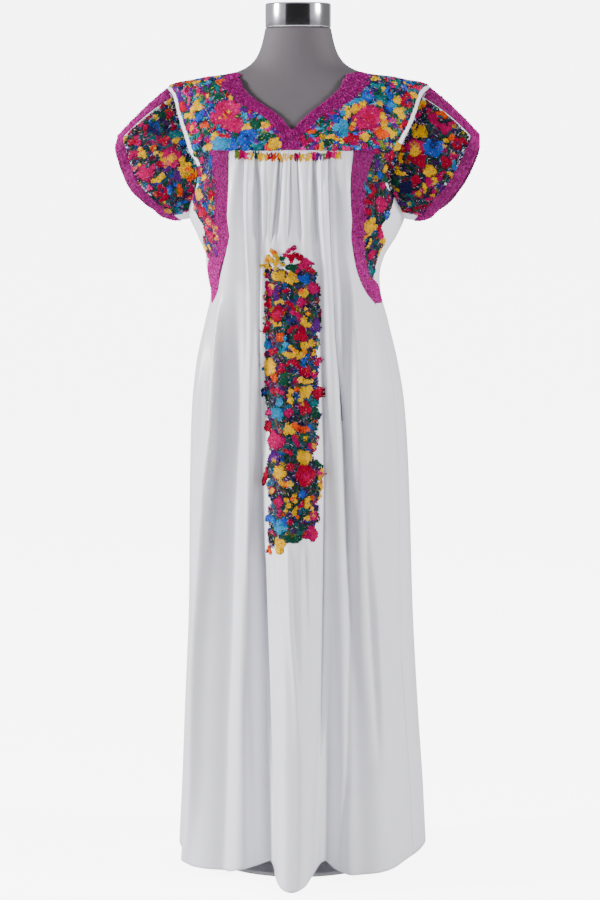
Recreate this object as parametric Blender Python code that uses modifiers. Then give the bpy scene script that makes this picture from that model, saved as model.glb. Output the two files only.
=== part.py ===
"""Long embroidered huipil dress standing on a limbless dress form.

Metres, +Z up, the front faces -Y, origin on the floor under the pole.
Every cloth panel is a patch of one garment surface, given by the angle round the
body (0 front centre, 90 the wearer's left side at +X, 180 back centre) and the height.
"""
import math

import bmesh
import bpy
from mathutils import Vector

MM = 0.001
WALL = 1.8                # cloth with its embroidery or crochet
SEAM = 0.44               # clear line between two joined panels
HALF_SEAM = SEAM / 2
STRIP_SEAM = 0.5          # the armhole strip turns sharply, so it keeps a wider line
WELD = 0.00001

YOKE_FOOT = 1133.0        # straight lower edge of the yoke, front and back
HEM = 12.0
DATUM = 10.0              # the drafted heights of dress and form start this far above the floor
BAND_TIP = 893.0
SIDE_JOIN = 884.0         # front panel and side panel meet below the band's tip
STRIP_WIDTH = 9.0
CUFF_WIDTH = 14.0
PLACKET_ANGLE = 3         # half width of the closed neck slit's band
PLACKET_RISE = 15         # height of the yoke's corner above the placket's foot
TOP_STRIP_HALF = (21.0, 12.5)   # turn in degrees at the armhole and at the cuff
SLEEVE_PUFF = 7.0
SLEEVE_SPREAD = 0.35      # how far the sleeve's puff leans away from the body
PUFF_ABOVE = 0.4          # share of the puff on top of and under the arm
SHARPEST_BEND = 110       # degrees between armhole strip and sleeve
FRONT_CROWD = 0.45        # columns crowd towards the centre fold
BACK_CROWD = 0.2
SIDE_SHIFT = 0.25         # columns of the side panel crowd towards its seams

TORSO_FOOT = 700.0
NECK_TOP = 1326.0
CAP_TOP = 1365.0
CAP_RIM = (52.0, 46.5)
FOOT_SHRINK = 0.82        # the form rounds in to its lower end
HIP_SHRINK = 0.95
POLE_RADIUS = 13.0
BASE_RADIUS = 125.0
BASE_HEIGHT = 6.0
PART_GAP = 0.3

# height, half width, depth in front, depth behind, squareness of the outline
SECTIONS = (
    (0, 200, 175, 172, 2.0),
    (120, 194, 164, 163, 2.0),
    (250, 187, 152, 154, 2.0),
    (410, 179.5, 138, 145, 2.0),
    (575, 176, 125, 137, 2.05),
    (670, 173, 117, 130, 2.1),
    (735, 169, 112, 123, 2.1),
    (800, 160, 107, 111, 2.1),
    (865, 145, 103, 97, 2.15),
    (915, 134.5, 103, 88, 2.2),
    (965, 141, 112, 91, 2.25),
    (1000, 158, 120, 97, 2.3),
    (1035, 171, 125, 102, 2.4),
    (1070, 170, 124, 104, 2.4),
    (1105, 174.5, 114, 104, 2.4),
    (1135, 190, 101, 102, 2.3),
    (1165, 195, 87, 97, 2.2),
    (1195, 199, 76, 88, 2.0),
    (1219, 203.5, 68, 78, 1.9),
    (1233, 207.5, 61, 69, 1.85),
    (1239, 195, 58.5, 65, 1.82),
    (1243, 172, 57, 62, 1.8),
    (1248, 148, 55, 60, 1.8),
    (1251, 121, 53, 58, 1.8),
    (1256, 96, 51, 56, 1.8),
    (1260, 86, 50, 54, 1.85),
    (1270, 72, 49, 52, 2.0),
    (1295, 59, 47, 49, 2.0),
    (1326, 52, 46, 46, 2.0),
)

# heights at which each fold's place, half width and rise are given
FOLD_LEVELS = (1118, 1040, 890, 620, 12)
# side (-1 front, 1 back), x of the line, half width, rise outward, sharpness
FOLDS = (
    (-1, (-84, -92, -106, -126, -158), (8, 9, 12, 16, 26), (3, 3, 5, 8, 10), 2),
    (-1, (-72, -78, -78, -100, -108), (6, 7, 12, 16, 24), (0, -1, -4, -5, -4), 2),
    (-1, (-60, -62, -52, -74, -86), (8, 9, 12, 13, 20), (4, 4, 5, 6, 4), 2),
    (-1, (-46, -46, -36, -50, -46), (6, 7, 10, 13, 22), (-1, -2, -3, -8, -34), 2),
    (-1, (-32, -31, -22, -10, 0), (8, 8, 10, 14, 20), (4, 4, 2, 0, 0), 2),
    (-1, (-5, -6, -2, 0, 4), (8, 8, 10, 14, 20), (4, 4, 1, 0, 0), 2),
    (-1, (10, 8, 4, 5, 9), (12, 14, 18, 32, 30), (0, 0, 3, 16, 76), 3),
    (-1, (24, 24, 26, 20, 20), (8, 8, 10, 14, 20), (4, 4, 2, 0, 0), 2),
    (-1, (40, 40, 46, 58, 62), (6, 7, 10, 12, 22), (-1, -2, -3, -5, -34), 2),
    (-1, (54, 55, 66, 74, 88), (8, 8, 10, 12, 20), (4, 4, 4, 3, 4), 2),
    (-1, (68, 70, 78, 88, 106), (6, 7, 8, 10, 18), (-1, -3, -7, -11, -6), 2),
    (-1, (80, 86, 98, 108, 136), (8, 9, 11, 14, 26), (3, 3, 5, 9, 9), 2),
    (1, (-90, -96, -112, -128, -150), (9, 10, 12, 18, 28), (3, 3, 4, 8, 18), 2),
    (1, (-58, -58, -62, -78, -92), (9, 9, 12, 18, 26), (4, 4, 3, -5, -16), 2),
    (1, (-28, -26, -24, -28, -34), (8, 9, 12, 22, 26), (4, 4, 4, 12, 44), 2),
    (1, (2, 2, 4, 10, 14), (8, 9, 12, 16, 22), (4, 3, -2, -6, -16), 2),
    (1, (32, 32, 38, 48, 60), (8, 9, 12, 20, 28), (4, 4, 5, 10, 34), 2),
    (1, (60, 62, 72, 86, 100), (8, 9, 11, 16, 24), (4, 3, -3, -6, -14), 2),
    (1, (88, 94, 110, 126, 146), (8, 9, 12, 16, 26), (3, 3, 5, 9, 16), 2),
)

# height, shift to the wearer's left of the hanging dress
LEAN = (
    (0, 7),
    (100, 7),
    (250, 5),
    (400, 4),
    (600, 2),
    (730, 0),
    (816, -2),
    (880, -2.5),
    (912, -4),
    (944, -7),
    (976, -3.5),
    (1008, -1),
    (1050, -2),
    (1090, -2),
    (1140, -1),
    (1180, 0),
)
# angle round the body, drafted height of the lower edge
HEM_LINE = (
    (-121, 17),
    (-93, 26),
    (-65, 17),
    (-50, 2),
    (-33, 1),
    (-25, 7),
    (-18, 13),
    (-12, 18),
    (-9, 15),
    (2, -6),
    (6, 1),
    (9, 13),
    (13, 21),
    (17, 20),
    (22, 8),
    (29, 1),
    (48, 6),
    (65, 17),
    (93, 26),
    (121, 17),
    (150, 13),
    (180, 8),
    (210, 13),
    (239, 17),
    (267, 26),
    (295, 17),
)

# neck band, front centre to back centre: angle and height of its inner and outer edge
NECK = (
    (0, 1165, 0, 1134),
    (1.3, 1170, 3, 1134),
    (2.6, 1175, 3, 1149),
    (4, 1181, 6, 1165),
    (7.5, 1190, 10, 1179),
    (12, 1200, 15, 1189),
    (17, 1210, 22, 1200),
    (22, 1222, 28, 1211),
    (27, 1238, 33, 1227),
    (38, 1249, 41, 1242),
    (60, 1255, 62, 1250),
    (90, 1257.5, 90, 1252.2),
    (122, 1255, 122, 1249.6),
    (150, 1248, 149, 1237),
    (166, 1243, 165, 1227),
    (180, 1241, 180, 1221),
)
NECK_START = 2            # row where the yoke begins beside the placket

# height, angle of the crochet band's inner and outer edge
BAND = (
    (BAND_TIP, 68.1, 69.9),
    (915, 57, 71),
    (937, 50, 64),
    (968, 42, 53.5),
    (1003, 33, 44),
    (1042, 30, 40),
    (1073, 29.8, 40),
    (1106, 29.2, 41),
    (YOKE_FOOT, 27.6, 40.6),
)
SEAM_ANGLE = (69.0, 67.0)  # side seam below the waist and at the hem

# turn round the armhole (0 shoulder, 180 underarm), angle and height of the seam,
# then where the sleeve's edge hangs: x, forward, height
ARMHOLE = (
    (0, 90, 1233, 288, 0, 1157),
    (25, 77.5, 1222, 287, 24, 1138),
    (50, 72.5, 1192, 279, 42, 1112),
    (80, 60.5, 1142, 265, 56, 1083),
    (110, 55.5, 1103, 244, 56, 1059),
    (135, 62, 1073, 229, 44, 1042),
    (160, 77, 1045, 215, 22, 1030),
    (180, 90, 1026, 205, 0, 1026),
)
# turn, half width in turn, rise near the armhole, rise at the cuff
SLEEVE_FOLDS = (
    (34, 11, 1, 3),
    (66, 12, 1, -4),
    (98, 13, 2, 5),
    (140, 12, 0, -3),
    (322, 12, 1, 4),
    (288, 13, 1, -4),
    (252, 14, 2, 5),
    (214, 12, 0, -3),
)

# height, clearance between the form and the garment's middle surface
CLEARANCE = (
    (TORSO_FOOT, 17),
    (900, 11),
    (1000, 9),
    (1110, 8.5),
    (1150, 3.2),
    (1220, 4),
    (1233, 6),
    (1241, 3.8),
    (1256, 2.9),
    (1266, 0),
    (NECK_TOP, 0),
)

BODY_LEVELS = (HEM, 110, 215, 325, 435, 540, 630, 705, 765, 815, 855, SIDE_JOIN, BAND_TIP,
               915, 940, 968, 1000, 1035, 1070, 1098, 1118, YOKE_FOOT)
FRONT_COLUMNS = 38
BACK_COLUMNS = 26
SIDE_LEAD = 2             # columns between the side seam and the armhole
UNDER_ROWS = 6            # columns of the side panel under the armhole's lower half
UNDERARM_LEVEL = 968
STRIP_LEVEL = 1098
YOKE_FOOT_COLUMNS = 9
YOKE_COLUMNS = 36
# column of the yoke's outer edge, row of the neck table it faces
NECK_MATCH = (
    (0, 2),
    (9, 7.4),
    (18, 11),
    (27, 13),
    (36, 15),
)

# name: linear colour, metallic, roughness
MATERIALS = {
    "purple_crochet": ((0.36, 0.02, 0.22), 0.0, 0.85),
    "embroidered_cotton": ((0.45, 0.08, 0.16), 0.0, 0.8),
    "white_cotton": ((0.66, 0.66, 0.68), 0.0, 0.8),
    "grey_jersey": ((0.19, 0.18, 0.19), 0.0, 0.85),
    "chromed_metal": ((0.6, 0.6, 0.62), 1.0, 0.18),
    "dark_painted_steel": ((0.03, 0.03, 0.035), 0.0, 0.45),
}


def slopes(keys, values):
    steps = [b - a for a, b in zip(keys, keys[1:])]
    rates = [(b - a) / h for a, b, h in zip(values, values[1:], steps)]
    inner = [0.0 if p * q <= 0 else 2 * p * q / (p + q) for p, q in zip(rates, rates[1:])]
    return [rates[0]] + inner + [rates[-1]]


class Curve:
    """Smooth reading of table columns that never overshoots their values."""

    def __init__(self, rows, key=0):
        self.keys = [row[key] for row in rows]
        self.columns = [list(column) for column in zip(*rows)]
        self.slopes = [slopes(self.keys, column) for column in self.columns]

    def at(self, key, column):
        keys = self.keys
        key = min(max(key, keys[0]), keys[-1])
        index = max(i for i in range(len(keys) - 1) if keys[i] <= key)
        step = keys[index + 1] - keys[index]
        t = (key - keys[index]) / step
        values = self.columns[column]
        slope = self.slopes[column]
        left = (1 + 2 * t) * (1 - t) ** 2 * values[index] + t * (1 - t) ** 2 * step * slope[index]
        right = t * t * (3 - 2 * t) * values[index + 1] - t * t * (1 - t) * step * slope[index + 1]
        return left + right


SECTION = Curve(SECTIONS)
NECK_LINE = Curve([(index,) + row for index, row in enumerate(NECK)])
BAND_LINE = Curve(BAND)
ARM_LINE = Curve(ARMHOLE)
CLEAR_LINE = Curve(CLEARANCE)
MATCH_LINE = Curve(NECK_MATCH)
LEAN_LINE = Curve(LEAN)
HEM_CURVE = Curve(HEM_LINE)


def fold_line(fold):
    """Side of the body, table from the hem upwards, sharpness of one fold."""
    side, places, widths, rises, sharp = fold
    rows = list(zip(FOLD_LEVELS, places, widths, rises))
    return side, Curve(rows[::-1]), sharp


FOLD_LINES = [fold_line(fold) for fold in FOLDS]


def smooth(low, high, value):
    t = min(max((value - low) / (high - low), 0.0), 1.0)
    return t * t * (3 - 2 * t)


def power(value, exponent):
    return math.copysign(abs(value) ** exponent, value)


def body(phi, z, folded=True):
    """Point in mm of the garment's middle surface."""
    width, front, back, square = (SECTION.at(z, column) for column in (1, 2, 3, 4))
    sine, cosine = math.sin(math.radians(phi)), math.cos(math.radians(phi))
    depth = front if cosine > 0 else back
    point = Vector((width * power(sine, 2 / square), -depth * power(cosine, 2 / square), z))
    if not folded or z >= YOKE_FOOT:
        return point
    side = -1 if cosine > 0 else 1
    outward = Vector((power(point.x / width, square - 1) / width,
                      power(point.y / depth, square - 1) / depth, 0)).normalized()
    rise = 0.0
    for fold_side, line, sharp in FOLD_LINES:
        if fold_side == side:
            reach = abs((point.x - line.at(z, 1)) / line.at(z, 2))
            rise += line.at(z, 3) * math.exp(-reach ** sharp)
    fade = smooth(YOKE_FOOT, YOKE_FOOT - 14, z) * smooth(0.0, 0.25, abs(cosine))
    return point + outward * rise * fade


def body_normal(phi, z):
    along = body(phi + 0.6, z, False) - body(phi - 0.6, z, False)
    upward = body(phi, z + 0.4, False) - body(phi, z - 0.4, False)
    return along.cross(upward).normalized()


def locate(target, phi, z):
    """Angle and height of the unfolded surface point nearest to a target."""
    for _ in range(12):
        here = body(phi, z, False)
        side = (body(phi + 0.5, z, False) - body(phi - 0.5, z, False))
        rise = (body(phi, z + 0.5, False) - body(phi, z - 0.5, False))
        away = target - here
        aa, bb, ab = side.dot(side), rise.dot(rise), side.dot(rise)
        det = aa * bb - ab * ab
        if det < 1e-9:
            break
        turn = (away.dot(side) * bb - away.dot(rise) * ab) / det
        lift = (away.dot(rise) * aa - away.dot(side) * ab) / det
        phi += max(-4.0, min(4.0, turn))
        z += max(-4.0, min(4.0, lift))
    return phi, z


def arm_seam(turn):
    """Angle and height of the armhole line for a full turn, front half first."""
    half = turn if turn <= 180 else 360 - turn
    phi, z = ARM_LINE.at(half, 1), ARM_LINE.at(half, 2)
    return (phi if turn <= 180 else 180 - phi), z


def arm_seam_inner(turn):
    """The armhole line moved one strip width onto the body."""
    if turn > 180:
        phi, z = arm_seam_inner(360 - turn)
        return 180 - phi, z
    phi, z = arm_seam(turn)
    here = body(phi, z, False)
    ahead = body(*arm_seam((turn + 3) % 360), False) - body(*arm_seam((turn - 3) % 360), False)
    away = ahead.cross(body_normal(phi, z)).normalized()
    phi, z = locate(here + away * STRIP_WIDTH, phi, z)
    if turn in (0, 180):
        phi = 90.0
    return phi, z


def sleeve(turn, s):
    """Point in mm of the wearer's-left sleeve, s from the armhole to the hem."""
    turn %= 360
    half = turn if turn <= 180 else 360 - turn
    forward = -1 if turn <= 180 else 1
    root = body(*arm_seam(turn), False)
    hem = Vector((ARM_LINE.at(half, 3), forward * ARM_LINE.at(half, 4), ARM_LINE.at(half, 5)))
    radians = math.radians(turn)
    outward = Vector((SLEEVE_SPREAD, -math.sin(radians), math.cos(radians))).normalized()
    round_share = PUFF_ABOVE + (1 - PUFF_ABOVE) * abs(math.sin(radians))
    rise = SLEEVE_PUFF * 4 * s * (1 - s) * round_share
    for middle, width, near, far in SLEEVE_FOLDS:
        rise += (near * 4 * s * (1 - s) + far * s * s) * math.exp(-((turn - middle) / width) ** 2)
    return root.lerp(hem, s) + outward * rise


def sleeve_start(turn):
    """Share of the sleeve's length left open at the armhole so the bend stays clear."""
    phi, z = arm_seam(turn)
    seam = body(phi, z, False)
    strip = (seam - body(*arm_seam_inner(turn), False)).normalized()
    cloth = sleeve(turn, 0.1) - seam
    bend = min(strip.angle(cloth), math.radians(SHARPEST_BEND))
    return (2 * STRIP_SEAM + WALL * math.tan(bend / 2)) / (sleeve(turn, 1) - seam).length


def cuff_line(turn):
    return 1 - CUFF_WIDTH / (sleeve(turn, 1) - sleeve(turn, 0)).length


def placed(point, flip=1):
    """Drafted point in mm set into the scene in metres."""
    shift = LEAN_LINE.at(point.z, 1)
    return Vector((point.x * flip + shift, point.y, point.z + DATUM)) * MM


def grid(rows, columns, point):
    return [[point(i, j) for j in range(columns)] for i in range(rows)]


def open_seams(mesh_builder, amount):
    """Move the open edges of a sheet into the sheet."""
    shifts = []
    for vert in mesh_builder.verts:
        inward = []
        for edge in vert.link_edges:
            if edge.is_boundary:
                face = edge.link_faces[0]
                middle = (edge.verts[0].co + edge.verts[1].co) / 2
                away = face.normal.cross(edge.verts[1].co - edge.verts[0].co).normalized()
                if away.dot(face.calc_center_median() - middle) < 0:
                    away.negate()
                inward.append(away)
        if len(inward) == 2:
            first, second = inward
            shifts.append((vert, (first + second) / max(1 + first.dot(second), 0.3)))
    for vert, shift in shifts:
        vert.co += shift * amount * MM


def material(name):
    found = bpy.data.materials.get(name)
    if found:
        return found
    colour, metallic, roughness = MATERIALS[name]
    made = bpy.data.materials.new(name)
    made.use_nodes = True
    made.diffuse_color = (*colour, 1.0)
    shader = made.node_tree.nodes["Principled BSDF"]
    shader.inputs["Base Color"].default_value = (*colour, 1.0)
    shader.inputs["Metallic"].default_value = metallic
    shader.inputs["Roughness"].default_value = roughness
    return made


def add_object(name, mesh_builder, material_name):
    mesh = bpy.data.meshes.new(name)
    mesh_builder.normal_update()
    mesh_builder.to_mesh(mesh)
    mesh_builder.free()
    item = bpy.data.objects.new(name, mesh)
    mesh.materials.append(material(material_name))
    COLLECTION.objects.link(item)
    for face in mesh.polygons:
        face.use_smooth = True
    return item


def sheet(name, grids, material_name, closed=False, mirrored=False, seam=HALF_SEAM):
    """Open surface through grids of points, thickened to the cloth's wall."""
    mesh_builder = bmesh.new()
    flip = -1 if mirrored else 1
    for points in grids:
        made = [[mesh_builder.verts.new(placed(point, flip)) for point in row] for row in points]
        columns = len(points[0])
        for low, high in zip(made, made[1:]):
            for j in range(columns if closed else columns - 1):
                k = (j + 1) % columns
                corner = (low[j], low[k], high[k], high[j])
                mesh_builder.faces.new(corner[::-1] if mirrored else corner)
    bmesh.ops.remove_doubles(mesh_builder, verts=mesh_builder.verts, dist=WELD)
    mesh_builder.normal_update()
    open_seams(mesh_builder, seam)
    item = add_object(name, mesh_builder, material_name)
    thick = item.modifiers.new("wall", "SOLIDIFY")
    thick.thickness = WALL * MM
    thick.offset = 0.0
    return item


def seam_angle(z, edge):
    """Angle of the front panel's edge (1) or of the side panel's edge (2)."""
    if z >= BAND_TIP:
        return BAND_LINE.at(z, edge)
    share = smooth(SIDE_JOIN, HEM, z)
    return SEAM_ANGLE[0] + (SEAM_ANGLE[1] - SEAM_ANGLE[0]) * share


def panel(front):
    """Gathered skirt panel between its two side seams."""
    columns = FRONT_COLUMNS if front else BACK_COLUMNS

    def point(i, j):
        u = j / (columns - 1)
        crowd = FRONT_CROWD if front else BACK_CROWD
        u += crowd * math.sin(2 * math.pi * u) / (2 * math.pi)
        z = BODY_LEVELS[i]
        edge = seam_angle(z, 1 if front else 2)
        phi = edge * (2 * u - 1)
        if not front:
            phi += 180
        if i == 0:
            z = HEM_CURVE.at(phi, 1)
        return body(phi, z)

    return [grid(len(BODY_LEVELS), columns, point)]


def turn_at(level):
    """Turn at which the armhole strip's inner edge passes a height in its front half."""
    low, high = 50.0, 125.0
    for _ in range(24):
        middle = (low + high) / 2
        if arm_seam_inner(middle)[1] > level:
            low = middle
        else:
            high = middle
    return low


STRIP_LEVELS = [z for z in reversed(BODY_LEVELS) if z >= STRIP_LEVEL]
UPPER_LEVELS = [z for z in BODY_LEVELS if UNDERARM_LEVEL <= z <= STRIP_LEVEL]
LOWER_LEVELS = [z for z in BODY_LEVELS if z <= UNDERARM_LEVEL]
CORNER, FRONT_LOW = turn_at(YOKE_FOOT), turn_at(STRIP_LEVEL)
ARM_ABOVE = [CORNER * t / 9 for t in range(9)]
ARM_BELOW = ([turn_at(level) for level in STRIP_LEVELS[:-1]]
             + [FRONT_LOW + (180 - FRONT_LOW) * t / UNDER_ROWS for t in range(UNDER_ROWS + 1)])


def side_panel():
    """Plain cloth below the sleeve: a lower part, and a strip beside the armhole before and behind."""
    edge_line = [arm_seam_inner(turn) for turn in ARM_BELOW]
    strip_rows = len(STRIP_LEVELS) - 1
    beside = edge_line[:strip_rows + 1]
    under = edge_line[strip_rows:]
    lead = SIDE_LEAD
    last = lead + len(under) - 1

    def strip_point(i, j):
        phi, z = beside[i]
        edge = seam_angle(z, 2)
        return edge + (phi - edge) * j / lead, z

    def top(j):
        return strip_point(strip_rows, j) if j < lead else under[j - lead]

    def half_grid(levels, place):
        def point(i, j):
            phi, z = place(i, min(j, 2 * last - j))
            if j > last:
                phi = 180 - phi
            return body(phi, HEM_CURVE.at(phi, 1) if z == HEM else z)
        return grid(levels, 2 * last + 1, point)

    def upper(i, j):
        v = (UPPER_LEVELS[i] - UNDERARM_LEVEL) / (STRIP_LEVEL - UNDERARM_LEVEL)
        share = j / last * (1 - SIDE_SHIFT * (1 - j / last))
        edge = seam_angle(UNDERARM_LEVEL, 2)
        foot = edge + (90 - edge) * share
        phi, z = top(j)
        left = 0.0
        if j < lead:
            height = UNDERARM_LEVEL + (z - UNDERARM_LEVEL) * v
            straight = edge + (seam_angle(z, 2) - edge) * v
            left = (seam_angle(height, 2) - straight) * (1 - j / lead)
        return foot + (phi - foot) * v + left, UNDERARM_LEVEL + (z - UNDERARM_LEVEL) * v

    def lower(i, j):
        z = LOWER_LEVELS[i]
        shift = SIDE_SHIFT * smooth(TORSO_FOOT, UNDERARM_LEVEL, z)
        share = j / last * (1 - shift * (1 - j / last))
        edge = seam_angle(z, 2)
        return edge + (90 - edge) * share, z

    strips = []
    for behind in (False, True):
        rows = []
        for i in range(strip_rows + 1):
            row = [strip_point(i, j) for j in range(lead + 1)]
            if behind:
                row = [(180 - phi, z) for phi, z in reversed(row)]
            rows.append([body(phi, z) for phi, z in row])
        strips.append(rows[::-1])
    return [half_grid(len(LOWER_LEVELS), lower), half_grid(len(UPPER_LEVELS), upper)] + strips


def band():
    levels = [z for z in BODY_LEVELS if z >= BAND_TIP]

    def point(i, j):
        z, u = levels[i], j / 3
        return body(BAND_LINE.at(z, 1) * (1 - u) + BAND_LINE.at(z, 2) * u, z)

    return [grid(len(levels), 4, point)]


def neck_row(step, column):
    return NECK_LINE.at(step, column + 1)


def neck_step(column):
    """Row of the neck table that faces a column of the yoke's outer edge."""
    return MATCH_LINE.at(column, 1)


def neck_band():
    half = [0.0, 0.5, 1.0, 1.5] + [neck_step(j) for j in range(YOKE_COLUMNS + 1)]
    turns = [(step, 1) for step in half] + [(step, -1) for step in reversed(half[1:-1])]

    def point(i, j):
        step, side = turns[j]
        v = i / 2
        inner = (neck_row(step, 0), neck_row(step, 1))
        outer = (neck_row(step, 2), neck_row(step, 3))
        if step < NECK_START:
            outer = (PLACKET_ANGLE * min(step, 1), YOKE_FOOT + 1 + PLACKET_RISE * max(step - 1, 0))
        phi = inner[0] + (outer[0] - inner[0]) * v
        spot = body(phi, inner[1] + (outer[1] - inner[1]) * v)
        return Vector((spot.x * side, spot.y, spot.z))

    return [grid(3, len(turns), point)]


def yoke_outer():
    """Outer outline of half the yoke from the placket to the back centre."""
    first = arm_seam_inner(CORNER)
    width = first[0] - PLACKET_ANGLE
    foot = [(PLACKET_ANGLE + width * t / YOKE_FOOT_COLUMNS, YOKE_FOOT) for t in range(YOKE_FOOT_COLUMNS)]
    arm = [arm_seam_inner(turn) for turn in [CORNER] + ARM_ABOVE[:0:-1]]
    top = [(90.0, arm_seam_inner(0)[1])]
    behind = [(180 - phi, z) for phi, z in reversed(arm)]
    back = [(180 - first[0] + first[0] * t / YOKE_FOOT_COLUMNS, YOKE_FOOT)
            for t in range(1, YOKE_FOOT_COLUMNS + 1)]
    return foot + arm + top + behind + back


def yoke():
    outer = yoke_outer()
    last = len(outer) - 1
    rows = 6

    def half_point(i, j):
        v = i / (rows - 1)
        step = neck_step(j)
        inner = (neck_row(step, 2), neck_row(step, 3))
        phi = inner[0] + (outer[j][0] - inner[0]) * v
        return body(phi, inner[1] + (outer[j][1] - inner[1]) * v)

    def point(i, j):
        if j <= last:
            return half_point(i, j)
        spot = half_point(i, 2 * last - j)
        return Vector((-spot.x, spot.y, spot.z))

    return [grid(rows, 2 * last + 1, point)]


def armhole_strip():
    front = ARM_ABOVE + ARM_BELOW
    turns = front + [360 - turn for turn in reversed(front[1:-1])]

    def point(i, j):
        seam = body(*arm_seam(turns[j]), False)
        inner = arm_seam_inner(turns[j])
        outer = arm_seam(turns[j])
        v = i / 2
        if i == 2:
            return seam
        return body(inner[0] + (outer[0] - inner[0]) * v, inner[1] + (outer[1] - inner[1]) * v)

    return [grid(3, len(turns), point)]


def strip_turn(s):
    return TOP_STRIP_HALF[0] + (TOP_STRIP_HALF[1] - TOP_STRIP_HALF[0]) * s


def sleeve_point(turn_of, v_share, u):
    """Sleeve surface point; turn_of gives the turn for u at the share s of its length."""
    s = 0.5
    for _ in range(3):
        turn = turn_of(u, s)
        start, end = sleeve_start(turn), cuff_line(turn)
        s = start + (end - start) * v_share
    return sleeve(turn_of(u, s), s)


def sleeve_sheet():
    columns, rows = 27, 7

    def turn_of(u, s):
        edge = strip_turn(s)
        return edge + (360 - 2 * edge) * u

    def point(i, j):
        return sleeve_point(turn_of, 1 - i / (rows - 1), j / (columns - 1))

    return [grid(rows, columns, point)]


def sleeve_top_strip():
    columns, rows = 5, 7

    def turn_of(u, s):
        return (strip_turn(s) * (2 * u - 1)) % 360

    def point(i, j):
        return sleeve_point(turn_of, 1 - i / (rows - 1), j / (columns - 1))

    return [grid(rows, columns, point)]


def cuff():
    columns = 28

    def point(i, j):
        turn = 360 * j / columns
        line = cuff_line(turn)
        return sleeve(turn, 1 + (line - 1) * i / 2)

    return [grid(3, columns, point)]


def torso():
    """Smooth form under the dress, closed above and below."""
    levels = (TORSO_FOOT, TORSO_FOOT + 12, 770, 840, 910, 970, 1035, 1080, 1120, 1155, 1185,
              1208, 1225, 1233, 1239, 1243, 1248, 1251, 1256, 1261, 1268, 1280, 1300, NECK_TOP)
    columns = 32
    mesh_builder = bmesh.new()
    rings = []
    for z in levels:
        ring = []
        for j in range(columns):
            phi = 360 * j / columns
            if phi > 180:
                phi -= 360
            spot = body(phi, z, False)
            away = body_normal(phi, z)
            spot -= away * CLEAR_LINE.at(z, 1)
            shrink = {TORSO_FOOT: FOOT_SHRINK, TORSO_FOOT + 12: HIP_SHRINK}.get(z, 1)
            height = {TORSO_FOOT: z, NECK_TOP: z - PART_GAP}.get(z, spot.z) + DATUM
            across = spot.x * shrink + LEAN_LINE.at(z, 1)
            ring.append(mesh_builder.verts.new(Vector((across, spot.y * shrink, height)) * MM))
        rings.append(ring)
    for low, high in zip(rings, rings[1:]):
        for j in range(columns):
            k = (j + 1) % columns
            mesh_builder.faces.new((low[j], low[k], high[k], high[j]))
    mesh_builder.faces.new(rings[0][::-1])
    mesh_builder.faces.new(rings[-1])
    return add_object("form_torso", mesh_builder, "grey_jersey")


def turned(name, radius, low, high, material_name, sides, soften, squash=1.0):
    """Upright cylinder with softened rims."""
    mesh_builder = bmesh.new()
    bmesh.ops.create_cone(mesh_builder, cap_ends=True, segments=sides, radius1=radius * MM,
                          radius2=radius * MM, depth=(high - low) * MM)
    bmesh.ops.translate(mesh_builder, verts=mesh_builder.verts, vec=(0, 0, (low + high) / 2 * MM))
    bmesh.ops.scale(mesh_builder, verts=mesh_builder.verts, vec=(1, squash, 1))
    item = add_object(name, mesh_builder, material_name)
    if soften:
        rim = item.modifiers.new("rim", "BEVEL")
        rim.width = soften * MM
        rim.segments = 2
        rim.limit_method = "ANGLE"
        rim.angle_limit = math.radians(40)
    return item


for old in list(bpy.data.objects):
    bpy.data.objects.remove(old, do_unlink=True)

COLLECTION = bpy.data.collections.new("huipil_dress")
bpy.context.scene.collection.children.link(COLLECTION)

turned("stand_base", BASE_RADIUS, 0, BASE_HEIGHT, "dark_painted_steel", 48, 1.2)
turned("stand_pole", POLE_RADIUS, BASE_HEIGHT + PART_GAP, TORSO_FOOT + DATUM - PART_GAP,
       "chromed_metal", 24, 0)
torso()
turned("form_neck_cap", CAP_RIM[0], NECK_TOP + DATUM, CAP_TOP + DATUM, "chromed_metal", 40, 3,
       CAP_RIM[1] / CAP_RIM[0])

sheet("neck_band", neck_band(), "purple_crochet", closed=True)
sheet("yoke", yoke(), "embroidered_cotton")
sheet("front_panel", panel(True), "white_cotton")
sheet("back_panel", panel(False), "white_cotton")
for label, is_right in (("l", False), ("r", True)):
    sheet("side_panel_" + label, side_panel(), "white_cotton", mirrored=is_right)
    sheet("band_front_" + label, band(), "purple_crochet", mirrored=is_right)
    sheet("armhole_strip_" + label, armhole_strip(), "white_cotton", True, is_right, STRIP_SEAM)
    sheet("sleeve_" + label, sleeve_sheet(), "embroidered_cotton", mirrored=is_right)
    sheet("sleeve_top_strip_" + label, sleeve_top_strip(), "purple_crochet", mirrored=is_right)
    sheet("sleeve_hem_band_" + label, cuff(), "purple_crochet", True, is_right)
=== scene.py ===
import math

import bmesh
import bpy
import numpy as np
from mathutils import Matrix, Vector
from mathutils.kdtree import KDTree


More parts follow.
